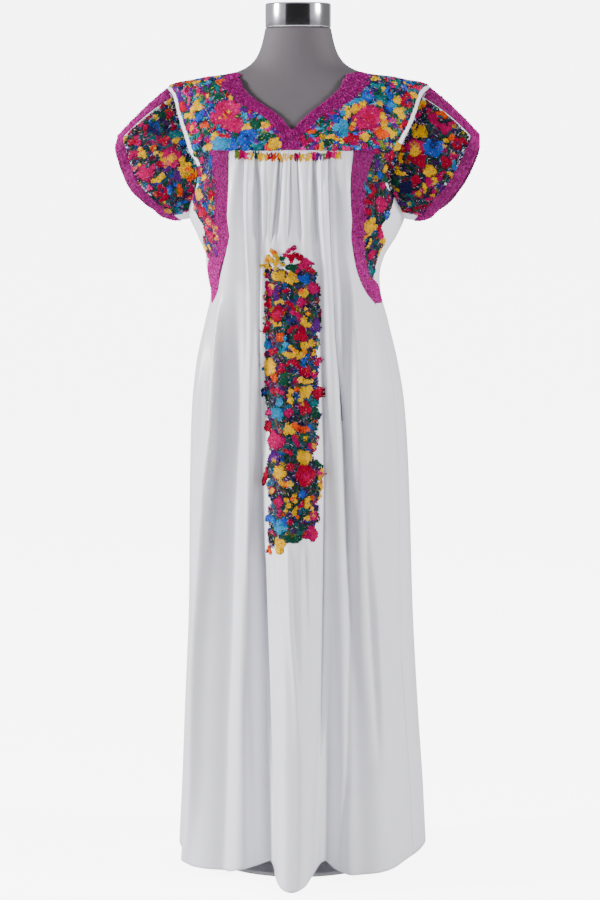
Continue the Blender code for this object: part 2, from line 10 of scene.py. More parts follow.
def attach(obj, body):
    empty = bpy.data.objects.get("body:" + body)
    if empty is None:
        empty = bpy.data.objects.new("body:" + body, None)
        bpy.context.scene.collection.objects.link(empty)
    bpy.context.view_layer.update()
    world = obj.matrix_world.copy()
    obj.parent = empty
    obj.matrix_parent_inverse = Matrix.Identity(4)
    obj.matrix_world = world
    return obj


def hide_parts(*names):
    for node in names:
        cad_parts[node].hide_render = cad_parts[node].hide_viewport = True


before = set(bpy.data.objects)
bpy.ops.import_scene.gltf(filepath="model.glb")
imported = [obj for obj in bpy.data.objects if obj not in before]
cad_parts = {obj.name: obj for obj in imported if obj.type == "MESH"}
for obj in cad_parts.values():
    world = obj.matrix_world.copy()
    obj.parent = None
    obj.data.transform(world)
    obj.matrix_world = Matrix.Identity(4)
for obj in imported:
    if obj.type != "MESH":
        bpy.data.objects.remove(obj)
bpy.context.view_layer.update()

# ---------------- sizes, in mm and degrees
MM = 0.001
MIRROR = (-1, 1, 1)
SIDES = (("l", False), ("r", True))  # the wearer's left, and its mirror image
DATUM = 10.0  # the drafted dress is set this far up from the floor
HEM, YOKE_FOOT = 12.0, 1133.0
BAND_TIP, SIDE_JOIN = 893.0, 884.0
UNDERARM_LEVEL, STRIP_LEVEL = 968, 1098
STRIP_WIDTH, CUFF_WIDTH = 9.0, 14.0
TOP_STRIP_HALF = (21.0, 12.5)  # turn either side of the top, at the armhole and at the cuff
SLEEVE_PUFF = 7.0
TORSO_FOOT, NECK_TOP, CAP_TOP = 700.0, 1326.0, 1365.0
FORM_TOP = NECK_TOP - 0.4
CAP_RIM = (52.0, 46.5)
POLE_RADIUS, BASE_RADIUS, BASE_HEIGHT, STAND_GAP = 13.0, 125.0, 6.0, 0.3
# cloth, the thin layer under the stitches and its height over the cloth
WALL, LINING, LINING_LIFT = 1.3, 0.4, 0.3
# crochet that reaches past its solid: turn at the top strip's edges, mm at the cuff
TOP_SPREAD, CUFF_SPREAD = 9, 5.0
CROCHET_PITCH, CROCHET_ROW = 3.1, 2.6
# a stitch is a low roof: share of its length, of its width and of its height at each corner
STITCH = np.array(((0, -0.5, 0), (0, 0.5, 0), (1, 0.5, 0), (1, -0.5, 0), (0.2, 0, 1), (0.8, 0, 1)))
STITCH_FACES = np.array(((0, 1, 2), (0, 2, 3), (0, 3, 5), (0, 5, 4),
                         (2, 1, 4), (2, 4, 5), (1, 0, 4), (3, 2, 5)))
# painted light and shade: each stitch's colour is lightened at its two ridge corners and darkened at its
# four foot corners
STITCH_PAINTED_LIGHT = np.array((0.86, 0.86, 0.86, 0.86, 1.1, 1.1))[None, :, None]
STITCH_SINK = 0.2
# camera: turn, distance, height, height aimed at and shift to its right in metres, and focal length in mm
CAMERA_TURN, CAMERA_DISTANCE = math.radians(6), 5.0
CAMERA_HEIGHT, CAMERA_AIM = 1.1 + DATUM * MM, 0.6564 + DATUM * MM
CAMERA_SHIFT, CAMERA_LENS = 0.003, 125.5

# ---------------- tables of the garment's form
# height, half width, depth in front, depth behind, squareness
SECTIONS = (
    (0, 200, 175, 172, 2.0), (120, 194, 164, 163, 2.0), (250, 187, 152, 154, 2.0),
    (410, 179.5, 138, 145, 2.0), (575, 176, 125, 137, 2.05), (670, 173, 117, 130, 2.1),
    (735, 169, 112, 123, 2.1), (800, 160, 107, 111, 2.1), (865, 145, 103, 97, 2.15),
    (915, 134.5, 103, 88, 2.2), (965, 141, 112, 91, 2.25), (1000, 158, 120, 97, 2.3),
    (1035, 171, 125, 102, 2.4), (1070, 170, 124, 104, 2.4), (1105, 174.5, 114, 104, 2.4),
    (1135, 190, 101, 102, 2.3), (1165, 195, 87, 97, 2.2), (1195, 199, 76, 88, 2.0),
    (1219, 203.5, 68, 78, 1.9), (1233, 207.5, 61, 69, 1.85), (1239, 195, 58.5, 65, 1.82),
    (1243, 172, 57, 62, 1.8), (1248, 148, 55, 60, 1.8), (1251, 121, 53, 58, 1.8), (1256, 96, 51, 56, 1.8),
    (1260, 86, 50, 54, 1.85), (1270, 72, 49, 52, 2.0), (1295, 59, 47, 49, 2.0), (1326, 52, 46, 46, 2.0),
)
FOLD_LEVELS = (1118, 1040, 890, 620, 12)
# side (-1 is the front), then at each of the levels x of the line, half width and rise, then sharpness
FOLDS = (
    (-1, (-84, -92, -106, -126, -158), (8, 9, 12, 16, 26), (3, 3, 5, 8, 10), 2),
    (-1, (-72, -78, -78, -100, -108), (6, 7, 12, 16, 24), (0, -1, -4, -5, -4), 2),
    (-1, (-60, -62, -52, -74, -86), (8, 9, 12, 13, 20), (4, 4, 5, 6, 4), 2),
    (-1, (-46, -46, -36, -50, -46), (6, 7, 10, 13, 22), (-1, -2, -3, -8, -34), 2),
    (-1, (-32, -31, -22, -10, 0), (8, 8, 10, 14, 20), (4, 4, 2, 0, 0), 2),
    (-1, (-5, -6, -2, 0, 4), (8, 8, 10, 14, 20), (4, 4, 1, 0, 0), 2),
    (-1, (10, 8, 4, 5, 9), (12, 14, 18, 32, 30), (0, 0, 3, 16, 76), 3),
    (-1, (24, 24, 26, 20, 20), (8, 8, 10, 14, 20), (4, 4, 2, 0, 0), 2),
    (-1, (40, 40, 46, 58, 62), (6, 7, 10, 12, 22), (-1, -2, -3, -5, -34), 2),
    (-1, (54, 55, 66, 74, 88), (8, 8, 10, 12, 20), (4, 4, 4, 3, 4), 2),
    (-1, (68, 70, 78, 88, 106), (6, 7, 8, 10, 18), (-1, -3, -7, -11, -6), 2),
    (-1, (80, 86, 98, 108, 136), (8, 9, 11, 14, 26), (3, 3, 5, 9, 9), 2),
    (1, (-90, -96, -112, -128, -150), (9, 10, 12, 18, 28), (3, 3, 4, 8, 18), 2),
    (1, (-58, -58, -62, -78, -92), (9, 9, 12, 18, 26), (4, 4, 3, -5, -16), 2),
    (1, (-28, -26, -24, -28, -34), (8, 9, 12, 22, 26), (4, 4, 4, 12, 44), 2),
    (1, (2, 2, 4, 10, 14), (8, 9, 12, 16, 22), (4, 3, -2, -6, -16), 2),
    (1, (32, 32, 38, 48, 60), (8, 9, 12, 20, 28), (4, 4, 5, 10, 34), 2),
    (1, (60, 62, 72, 86, 100), (8, 9, 11, 16, 24), (4, 3, -3, -6, -14), 2),
    (1, (88, 94, 110, 126, 146), (8, 9, 12, 16, 26), (3, 3, 5, 9, 16), 2),
)
# soft creases pressed into the big folds, a line each: height, x, half width and rise down the line
FRONT_CREASES = (
    ((399, -69, 8, 0), (556, -66, 7, 2.5), (712, -62, 6, 3), (900, -64, 5, 3), (1121, -66, 3.5, 2)),
    ((430, -78, 5, 0), (587, -74, 4, -1.5), (806, -74, 3.5, -2), (1118, -74, 3, -1)),
    ((37, -58, 10, -2), (305, -52, 9, -5), (494, -50, 6, -5), (650, -51, 4, -4), (806, -51, 3.5, -3.5),
     (963, -51, 4, -3), (1056, -51, 4.5, -3), (1121, -56, 4, -2)),
    ((525, -44, 4, 2), (650, -44, 3.5, 1.5), (853, -46, 3, 1.5), (1056, -40, 3, 2), (1121, -41, 3, 1)),
    ((924, -33, 3, 0), (994, -28, 3, -2.5), (1056, -21, 3, -3), (1121, -18, 3, -2)),
    ((963, -25, 2.4, 0), (997, -21, 2.4, -1), (1056, -15, 2.4, -1.6), (1121, -11, 2.2, -1.2)),
    ((963, -6, 3, 0), (1001, -3, 3, -1.2), (1056, 0, 2.8, -1.6), (1121, -1, 2.4, -1)),
    ((947, 19, 3, 0), (994, 18, 3, -1.5), (1056, 15, 2.8, -1.8), (1121, 10, 2.4, -1)),
    ((838, 47, 3, -1), (901, 44, 3.4, -2), (987, 42, 3.8, -2.4), (1056, 39, 3.8, -2.4),
     (1121, 34, 3, -1.5)),
    ((589, 65, 7, 0), (713, 63, 7, 1.5), (854, 59, 6, 2), (963, 53, 5, 2.5), (1121, 47, 3, 1)),
    ((431, 93, 6, -1), (557, 90, 4.5, -3.6), (674, 86, 3.6, -4.6), (760, 79, 3.2, -5), (854, 69, 3.2, -4.8),
     (963, 64, 3, -3.2), (1041, 62, 3, -3), (1121, 58, 2.6, -2)),
    ((241, 114, 5, 0), (367, 106, 5, 1.5), (525, 101, 5, 2), (775, 99, 6, 2.5), (900, 90, 6, 2.5),
     (994, 81, 5, 0)),
    ((8, 33, 4, -1), (71, 35, 5, -4), (166, 42, 5, -6), (260, 48, 5, -7), (495, 52, 4.5, -6),
     (636, 53, 3.5, -4), (745, 52, 3.2, -3.5), (869, 46, 3, -1)),
    ((71, 29, 3.5, 0), (166, 35, 3.5, 1), (260, 42, 3.5, 2), (518, 44, 3.5, 2)),
    ((39, -26, 4, -3), (117, -31, 4, -4), (212, -37, 4, -4), (306, -41, 4, -4), (400, -46, 4, -3.5),
     (517, -50, 4, -2)),
    ((55, -20, 3.5, 1), (181, -26, 3.5, 1.5), (291, -31, 3.5, 2), (400, -36, 3.5, 2.5), (500, -39, 3.5, 2)),
    ((213, -6, 4, 0), (307, -12, 4, -1), (432, -20, 4, -1.6), (507, -23, 3.5, -1.6)),
    ((181, 14, 5, 0), (291, 10, 4.5, 1.6), (401, 2, 4, 1.8), (511, -2, 4, 1.6)),
    ((276, 30, 4, 0), (401, 24, 4, -1.6), (519, 21, 4, -1.8)),
    ((13, -168, 7, 4), (48, -162, 7, 5), (137, -153, 7, 6), (233, -149, 7, 7), (344, -145, 7, 7.5),
     (472, -137, 7, 7), (615, -128, 6.5, 6.5), (710, -119, 6, 5.5), (836, -115, 6, 4.5), (914, -111, 5, 1)),
    ((357, -161, 5, 0), (486, -152, 5, -1.5), (630, -140, 5, -2), (756, -133, 4.5, -2), (851, -130, 4, 0)),
    ((387, -169, 6, 1), (483, -166, 7, 2), (628, -159, 7, 2.5), (739, -151, 6, 3), (849, -142, 5, 1)),
    ((55, -162, 4, -1), (119, -161, 4, -2.5), (198, -164, 4, -3), (292, -169, 4, -3), (385, -175, 4, -1)),
    ((12, 83, 4, -1.5), (85, 84, 4, -2), (180, 88, 4, -2.2), (305, 90, 4, -2.2), (399, 93, 4, -1)),
    ((160, 130, 5, 0), (255, 126, 4.5, -2), (366, 120, 4.5, -2.8), (493, 114, 4.5, -2.2), (634, 111, 4, 0)),
    ((111, 140, 5, 0), (191, 137, 5, 1), (302, 133, 4.5, 2.2), (397, 129, 4.5, 2.2), (524, 122, 4.5, 0)),
    ((72, 172, 5, -2), (200, 169, 4.5, -1.8), (327, 169, 4, -1.6), (613, 166, 3, -1.2), (708, 165, 3, 0)),
    ((12, -116, 14, -4), (207, -110, 14, -4), (365, -103, 14, -4), (554, -96, 13, -4.5), (712, -88, 12, -4),
     (899, -91, 10, -1.5)),
    ((11, -68, 4, -1.6), (115, -70, 4, -2), (241, -71, 4, -1.6), (367, -72, 4, 0)),
)
BACK_CREASES = (
    ((980, -84, 5, 0), (1050, -76, 3.5, 2), (1121, -72, 3, 1.4)),
    ((420, -60, 6, 0), (760, -46, 4, -3), (1030, -43, 3, -2.6), (1121, -43, 3, -1.5)),
    ((880, -8, 4, 0), (1000, -12, 3, 2), (1121, -14, 2.6, 1.2)),
    ((300, 30, 7, 0), (700, 20, 4.5, -3), (1010, 17, 3, -2.8), (1121, 16, 2.8, -1.6)),
    ((900, 54, 4, 0), (1010, 48, 3, 2), (1121, 46, 2.8, 1.3)),
    ((560, 84, 6, 0), (820, 79, 4, -3), (1018, 76, 3.2, -2.4), (1121, 73, 3, -1.4)),
    ((60, -112, 7, 1), (400, -104, 6, 3.5), (700, -92, 5, 3), (900, -84, 5, 0)),
    ((20, -30, 5, -4), (300, -12, 5, -4), (600, -8, 5, -3), (820, -6, 5, 0)),
    ((30, 82, 5, -3), (340, 72, 6, -3.5), (620, 64, 6, -3), (860, 58, 5, 0)),
    ((40, 150, 6, 2), (400, 132, 6, 3.5), (700, 116, 6, 2), (860, 108, 5, 0)),
    ((40, -152, 6, -2), (360, -140, 6, -3), (640, -122, 6, -2), (800, -116, 5, 0)),
)
# heights between which folds start to follow the lean, and creases deepen below the yoke
LEAN_FADE, BUST_FADE = (690, 740), (880, 980)
CREASE_DEPTH, BUST_DEPTH, CREASE_SHARPNESS, CREASE_END = 2.4, 0.6, 1.6, 40
# close embroidery keeps the middle of the skirt's front from creasing: foot, head, sides and by how much
STIFF_FOOT, STIFF_HEAD, STIFF_SIDES, STIFFNESS = (495, 530), (1010, 985), (50, 41), 0.85
# fine gathers right under the yoke, and where all folds die out at the yoke's seam
GATHER_RISE, GATHER_WAVE, GATHER_FADE, SEAM_FADE = 0.5, 1.4, (1112, 1126), 12
# height, shift to the wearer's left of the hanging dress
LEAN = (
    (0, 7), (100, 7), (250, 5), (400, 4), (600, 2), (730, 0), (816, -2), (880, -2.5), (912, -4), (944, -7),
    (976, -3.5), (1008, -1), (1050, -2), (1090, -2), (1140, -1), (1180, 0),
)
# angle round the body, height of the lower edge
HEM_LINE = (
    (-121, 17), (-93, 26), (-65, 17), (-50, 2), (-33, 1), (-25, 7), (-18, 13), (-12, 18), (-9, 15), (2, -6),
    (6, 1), (9, 13), (13, 21), (17, 20), (22, 8), (29, 1), (48, 6), (65, 17), (93, 26), (121, 17),
    (150, 13), (180, 8), (210, 13), (239, 17), (267, 26), (295, 17),
)
# a row for each step round the neck: angle and height of the inner edge, then of the outer edge
NECK = (
    (0, 1165, 0, 1134), (1.3, 1170, 3, 1134), (2.6, 1175, 3, 1149), (4, 1181, 6, 1165),
    (7.5, 1190, 10, 1179), (12, 1200, 15, 1189), (17, 1210, 22, 1200), (22, 1222, 28, 1211),
    (27, 1238, 33, 1227), (38, 1249, 41, 1242), (60, 1255, 62, 1250), (90, 1257.5, 90, 1252.2),
    (122, 1255, 122, 1249.6), (150, 1248, 149, 1237), (166, 1243, 165, 1227), (180, 1241, 180, 1221),
)
# step round the neck; change of the inner edge's angle and height on the wearer's left, then on the right
NECK_EASE = (
    (0, 0, 0, 0, 0), (3, 0, 0, 0, 0), (5, -1, 0, 0, 0), (7, -2.4, 0, 0, 0), (8, -2.8, 0, 0, 0),
    (9, -0.5, 0, 5, 0), (10, 0, -1.5, 0, -2), (11, 0, -1, 0, -2), (12, 0, -1, 0, -2.6), (13, 0, 0, 0, -2),
    (14, 0, 0, 0, 0), (15, 0, 0, 0, 0),
)
# share of the yoke's outer edge, step round the neck
NECK_MATCH = ((0, 2), (0.25, 7.4), (0.5, 11), (0.75, 13), (1, 15))
# height, angle of the band's inner and outer edge
BAND = (
    (BAND_TIP, 68.1, 69.9), (915, 57, 71), (937, 50, 64), (968, 42, 53.5), (1003, 33, 44), (1042, 30, 40),
    (1073, 29.8, 40), (1106, 29.2, 41), (YOKE_FOOT, 27.6, 40.6),
)
# height, angle that the crochet reaches past the band's solid
BAND_SPREAD = {
    "l": ((BAND_TIP, 15), (903, 16), (922, 11), (934, 4), (950, 1), (970, 0), (YOKE_FOOT, 0)),
    "r": ((BAND_TIP, 0), (915, 5), (940, 13), (965, 12), (985, 6), (1005, 1), (YOKE_FOOT, 0)),
}
SEAM_ANGLE = (69.0, 67.0)  # of the front panel's side seam, at the bust and at the hem
# turn from the top of the sleeve; angle and height on the body; x, distance forward and height of the cuff
ARMHOLE = (
    (0, 90, 1233, 288, 0, 1157), (25, 77.5, 1222, 287, 24, 1138), (50, 72.5, 1192, 279, 42, 1112),
    (80, 60.5, 1142, 265, 56, 1083), (110, 55.5, 1103, 244, 56, 1059), (135, 62, 1073, 229, 44, 1042),
    (160, 77, 1045, 215, 22, 1030), (180, 90, 1026, 205, 0, 1026),
)
# turn round the sleeve, width, rise half way and at the cuff
SLEEVE_FOLDS = (
    (34, 11, 1, 3), (66, 12, 1, -4), (98, 13, 2, 5), (140, 12, 0, -3), (322, 12, 1, 4), (288, 13, 1, -4),
    (252, 14, 2, 5), (214, 12, 0, -3),
)
# height, angle where the flowers on the side panel end
SIDE_FLOWERS = (
    (925, 69.5), (945, 72), (970, 71), (990, 67), (1003, 58), (1015, 54.5), (1030, 58), (1045, 63),
    (1060, 66), (1075, 58), (1090, 52), (1100, 51), (1133, 53),
)
# lowest of these flowers, and the heights between which flowers cross the armhole strip
SIDE_FOOT = {"l": 930, "r": 968}
STRIP_COVER = {"l": (1146, 1072), "r": (1110, 1072)}
# height, x of the left and right edge of the flower column's ground
COLUMN = (
    (500, -30, 36), (540, -36, 38), (590, -32, 42), (630, -37, 44), (660, -30, 34), (700, -32, 40),
    (760, -39, 42), (830, -36, 40), (880, -36, 44), (930, -30, 42), (965, -24, 34),
)
# height, distance of the torso from the cloth's surface
CLEARANCE = (
    (TORSO_FOOT, 17), (900, 11), (1000, 9), (1110, 8.5), (1150, 3.2), (1220, 4), (1233, 6), (1241, 3.8),
    (1256, 2.9), (1266, 0), (NECK_TOP, 0),
)

# ---------------- tables of the embroidery
# floss by its first letter (magenta, crimson, yellow, orange, teal, blue, sky, violet, green, pink, navy,
# lime), colour, share among small blooms, share among leaves
PALETTE = (
    ("m", "b60258", 0.24, 0.04), ("c", "aa032f", 0.18, 0.04), ("y", "efb600", 0.27, 0.02),
    ("o", "ea5203", 0.03, 0.02), ("t", "127179", 0.06, 0.18), ("b", "1e52ba", 0.05, 0.07),
    ("s", "2a8cbc", 0.04, 0.04), ("v", "571479", 0.04, 0.16), ("g", "0f4a36", 0.05, 0.28),
    ("p", "e0087c", 0.04, 0.02), ("n", "1d1d50", 0.0, 0.18), ("l", "6a8029", 0.0, 0.03),
)
# two choices of floss for the heart of a bloom
HEARTS = {"m": "yc", "c": "mn", "y": "oy", "o": "yc", "b": "sn", "s": "bs"}
SATIN_TONES = ("0c3124", "0a3c40", "17173c", "0c3124", "2e0b42", "0a3c40", "4c0620", "10285a", "0f301c")
PALE_STRAND = "b4a8c4"
# colours of the yarn and their shares
YARN_TONES = {"ae1482": 0.28, "ba148e": 0.24, "960e6e": 0.22, "c23098": 0.16, "c448a2": 0.1}
SMOCKED_TONES = "lmpygyycoyymyypv"
# how light the leaves are
YOKE_DEPTH, SLEEVE_DEPTH = 2.85, {"l": 0.5, "r": 0.9}
LARGE_BLOOM = 14
RANDOM_BLOOMS = ((8.5, 12.5), (4.5, 7.5))  # smallest and largest radius of either kind
# main blooms, listed: x and height in front view, radius, floss
BLOOMS = {
    "yoke": (
        (-182, 1200, 12, "c"), (-162, 1168, 12, "m"), (-155, 1200, 11.5, "y"), (-150, 1184, 10, "b"),
        (-105, 1188, 25, "m"), (-109, 1188, 12, "y"), (-86, 1173, 12.5, "m"), (-71, 1168, 8.5, "y"),
        (-69, 1154, 16, "b"), (-110, 1143, 17, "s"), (-93, 1141, 12, "b"), (-24, 1144, 12, "y"),
        (-131, 1136, 9.5, "y"), (-123, 1155, 9, "y"), (-110, 1155, 9, "c"), (-56, 1174, 10, "g"),
        (-37, 1155, 10, "g"), (-139, 1173, 9, "o"), (117, 1184, 22, "m"), (97, 1197, 9, "y"),
        (150, 1204, 10, "b"), (98, 1210, 8, "s"), (116, 1217, 9, "b"), (86, 1190, 8, "y"),
        (108, 1204, 7, "y"), (176, 1212, 12.5, "c"), (165, 1192, 11, "y"), (141, 1179, 10, "y"),
        (138, 1159, 12, "o"), (154, 1159, 10, "y"), (78, 1164, 15, "s"), (66, 1182, 8, "b"),
        (80, 1199, 8, "s"), (93, 1149, 11, "c"), (114, 1154, 8, "y"), (31, 1149, 10, "m"),
        (48, 1153, 9, "g"), (135, 1212, 10, "t"), (173, 1173, 9, "c"),
    ),
    "sleeve_r": (
        (-239, 1170, 10, "m"), (-206, 1148, 10, "c"), (-192, 1122, 17, "m"), (-210, 1126, 8, "y"),
        (-164, 1104, 12.5, "y"), (-154, 1095, 9, "o"), (-175, 1120, 10, "y"), (-235, 1099, 15, "m"),
        (-221, 1108, 10, "c"), (-211, 1088, 8.5, "y"), (-206, 1071, 10.5, "c"), (-202, 1059, 8, "c"),
        (-192, 1075, 9, "b"), (-188, 1156, 11.5, "t"), (-239, 1129, 8.5, "y"), (-254, 1148, 10.5, "m"),
        (-252, 1128, 10, "m"), (-224, 1162, 9.5, "n"), (-220, 1188, 9, "g"), (-178, 1095, 9, "v"),
    ),
    "side_r": (
        (-145, 1064, 10.5, "y"), (-123, 1064, 8.5, "c"), (-141, 1038, 11, "c"), (-129, 1023, 11, "m"),
        (-132, 1005, 10.5, "m"),
    ),
    "sleeve_l": (
        (198, 1161, 13.5, "y"), (188, 1138, 16, "m"), (201, 1118, 12, "c"), (214, 1185, 9.5, "m"),
        (221, 1173, 9, "m"), (235, 1165, 10.5, "m"), (238, 1148, 9.5, "y"), (254, 1144, 10, "c"),
        (219, 1136, 17, "b"), (239, 1113, 11, "c"), (215, 1100, 10, "y"), (219, 1085, 10.5, "m"),
        (194, 1085, 9, "c"), (199, 1066, 10.5, "m"), (181, 1075, 12, "n"), (254, 1106, 9, "s"),
        (249, 1124, 8, "m"),
    ),
    "side_l": (
        (128, 1068, 8.5, "c"), (141, 1046, 13.5, "m"), (123, 1015, 12.5, "y"), (143, 991, 9.5, "y"),
        (150, 1007, 10, "m"), (126, 971, 10, "m"), (126, 944, 10, "t"), (123, 1013, 8, "y"),
    ),
    "column": (
        (-31, 964, 7, "y"), (-32, 954, 7, "y"), (-20, 972, 8, "y"), (-17, 960, 8, "y"), (1, 977, 8, "m"),
        (5, 966, 8.5, "c"), (-6, 956, 8.5, "g"), (10, 951, 9, "g"), (20, 966, 9, "c"), (23, 955, 9.5, "m"),
        (34, 960, 7, "m"), (35, 948, 8, "c"), (-9, 937, 12, "y"), (8, 934, 10.5, "y"), (27, 932, 10.5, "b"),
        (39, 919, 11, "m"), (23, 912, 8, "y"), (-29, 920, 10.5, "m"), (-20, 910, 9, "v"),
        (-34, 894, 9, "c"), (-18, 878, 12, "c"), (40, 859, 12, "v"), (-36, 860, 9.5, "c"),
        (18, 846, 12, "c"), (32, 834, 8.5, "y"), (-36, 830, 8, "s"), (-5, 831, 9, "s"), (-31, 816, 10, "c"),
        (23, 819, 9.5, "y"), (-1, 814, 8, "y"), (5, 804, 8, "c"), (-32, 797, 13.5, "y"), (24, 790, 10, "c"),
        (43, 804, 8, "m"), (-9, 778, 10.5, "g"), (24, 758, 11.5, "y"), (43, 756, 10, "c"),
        (-43, 757, 8, "b"), (-20, 725, 12, "s"), (22, 733, 10.5, "c"), (38, 724, 8, "g"),
        (-34, 702, 9, "c"), (-3, 699, 10.5, "y"), (16, 700, 9.5, "o"), (24, 687, 10, "g"),
        (-25, 680, 14.5, "m"), (36, 673, 9, "m"), (-25, 656, 11, "v"), (22, 658, 12, "y"),
        (-17, 633, 11.5, "y"), (-39, 624, 9.5, "c"), (24, 627, 16, "c"), (46, 631, 9.5, "m"),
        (-8, 614, 8.5, "y"), (-28, 604, 8.5, "m"), (-19, 587, 11, "m"), (-2, 583, 8.5, "y"),
        (26, 590, 8, "y"), (-30, 560, 10, "b"), (-14, 551, 13.5, "s"), (35, 565, 8.5, "m"),
        (34, 539, 12.5, "m"), (-16, 521, 13, "y"), (-34, 509, 8, "o"), (6, 528, 9.5, "g"),
    ),
}


# ---------------- the garment's surface
def curve(rows):
    """Smooth reading of table columns that never overshoots their values."""
    table = np.array(rows, float)
    keys = table[:, 0]
    step = np.diff(keys)[:, None]
    rate = np.diff(table, axis=0) / step
    product = rate[:-1] * rate[1:]
    total = np.where(product > 0, rate[:-1] + rate[1:], 1)
    inner = np.where(product > 0, 2 * product / total, 0)
    slope = np.vstack([rate[:1], inner, rate[-1:]])

    def at(key, column):
        key = np.clip(key, keys[0], keys[-1])
        i = np.clip(np.searchsorted(keys, key, side="right") - 1, 0, len(keys) - 2)
        h = step[i, 0]
        t = (key - keys[i]) / h
        value, m = table[:, column], slope[:, column]
        left = (1 + 2 * t) * (1 - t) ** 2 * value[i] + t * (1 - t) ** 2 * h * m[i]
        return left + t * t * (3 - 2 * t) * value[i + 1] - t * t * (1 - t) * h * m[i + 1]

    return at


section, lean_line, hem_line = curve(SECTIONS), curve(LEAN), curve(HEM_LINE)
neck_line = curve([(i,) + row for i, row in enumerate(NECK)])
neck_ease, match_line = curve(NECK_EASE), curve(NECK_MATCH)
band_line, band_spread = curve(BAND), {label: curve(rows) for label, rows in BAND_SPREAD.items()}
arm_line, flower_edge, column_line = curve(ARMHOLE), curve(SIDE_FLOWERS), curve(COLUMN)
clearance_line = curve(CLEARANCE)
crease_lines = [(side, curve(rows), rows[0][0], rows[-1][0])
                for side, creases in ((-1, FRONT_CREASES), (1, BACK_CREASES)) for rows in creases]
fold_lines = [(fold[0], curve(list(zip(*[row[::-1] for row in (FOLD_LEVELS,) + fold[1:4]]))), fold[4])
              for fold in FOLDS]


def smooth(low, high, value):
    """Soft step from 0 at low to 1 at high."""
    t = np.clip((value - low) / (high - low), 0, 1)
    return t * t * (3 - 2 * t)


def power(value, exponent):
    """Power of the size, with the sign kept."""
    return np.sign(value) * np.abs(value) ** exponent


def unit(v):
    return v / np.maximum(np.linalg.norm(v, axis=-1, keepdims=True), 1e-9)


def body(phi, z, folded=True):
    """Points in mm of the garment's middle surface."""
    phi, z = np.broadcast_arrays(np.asarray(phi, float), np.asarray(z, float))
    width, front, back, square = (section(z, column) for column in (1, 2, 3, 4))
    sine, cosine = np.sin(np.radians(phi)), np.cos(np.radians(phi))
    depth = np.where(cosine > 0, front, back)
    x, y = width * power(sine, 2 / square), -depth * power(cosine, 2 / square)
    point = np.stack([x, y, z], -1)
    if not folded:
        return point
    out = unit(np.stack([power(x / width, square - 1) / width, power(y / depth, square - 1) / depth,
                         np.zeros_like(x)], -1))
    rise = np.zeros_like(x)
    side = np.where(cosine > 0, -1, 1)
    straight = x + lean_line(z, 1) * smooth(*LEAN_FADE, z)
    for fold_side, line, sharp in fold_lines:
        reach = np.abs((straight - line(z, 1)) / line(z, 2))
        rise += np.where(side == fold_side, line(z, 3) * np.exp(-reach ** sharp), 0)
    stiff = smooth(*STIFF_FOOT, z) * smooth(*STIFF_HEAD, z) * smooth(*STIFF_SIDES, np.abs(straight))
    stiff = stiff * (side < 0)
    for fold_side, line, low, high in crease_lines:
        reach = (straight - line(z, 1)) / line(z, 2)
        fade = smooth(low - CREASE_END, low, z) * smooth(high + CREASE_END, high, z)
        fade = fade * (CREASE_DEPTH + BUST_DEPTH * smooth(*BUST_FADE, z)) * (1 - STIFFNESS * stiff)
        crease = fade * line(z, 3) * np.exp(-np.abs(reach) ** CREASE_SHARPNESS)
        rise += np.where(side == fold_side, crease, 0)
    rise += GATHER_RISE * np.sin(x * GATHER_WAVE) * smooth(*GATHER_FADE, z)
    rise *= smooth(YOKE_FOOT, YOKE_FOOT - SEAM_FADE, z) * smooth(0, 0.25, np.abs(cosine))
    return point + out * rise[..., None]


def placed(points):
    """Drafted points in mm set over the floor, with the skirt's lean."""
    z = points[..., 2]
    return points + np.stack([lean_line(z, 1), 0 * z, DATUM + 0 * z], -1)


def body_normal(phi, z):
    along = body(phi + 0.6, z, False) - body(phi - 0.6, z, False)
    upward = body(phi, z + 0.4, False) - body(phi, z - 0.4, False)
    return unit(np.cross(along, upward))


def locate(target, phi, z):
    """Angle and height of the unfolded surface points nearest to targets."""
    for _ in range(12):
        side = body(phi + 0.5, z, False) - body(phi - 0.5, z, False)
        rise = body(phi, z + 0.5, False) - body(phi, z - 0.5, False)
        away = target - body(phi, z, False)
        aa, bb, ab = (np.sum(p * q, -1) for p, q in ((side, side), (rise, rise), (side, rise)))
        da, db = np.sum(away * side, -1), np.sum(away * rise, -1)
        det = np.maximum(aa * bb - ab * ab, 1e-9)
        phi = phi + np.clip((da * bb - db * ab) / det, -4, 4)
        z = z + np.clip((db * aa - da * ab) / det, -4, 4)
    return phi, z


def turn_and_half(turn):
    """Turn from 0 to 360 round the sleeve, and the same counted from the top down in front or behind."""
    turn = np.asarray(turn, float) % 360
    return turn, np.where(turn <= 180, turn, 360 - turn)


def arm_seam(turn):
    """Angle and height of the sleeve's seam."""
    turn, half = turn_and_half(turn)
    phi = arm_line(half, 1)
    return np.where(turn <= 180, phi, 180 - phi), arm_line(half, 2)


def arm_inner(turn, width=STRIP_WIDTH):
    """The armhole line moved one strip width onto the body."""
    turn, half = turn_and_half(turn)
    phi, z = arm_seam(half)
    here = body(phi, z, False)
    ahead = body(*arm_seam(half + 3), False) - body(*arm_seam(half - 3), False)
    away = unit(np.cross(ahead, body_normal(phi, z)))
    phi, z = locate(here + away * width, phi, z)
    phi = np.where((half == 0) | (half == 180), 90.0, phi)
    return np.where(turn <= 180, phi, 180 - phi), z


def turn_at(level):
    """Turn where the front of the armhole strip's inner edge passes a height."""
    low, high = 50.0, 125.0
    for _ in range(24):
        middle = (low + high) / 2
        low, high = (middle, high) if arm_inner(middle)[1] > level else (low, middle)
    return low


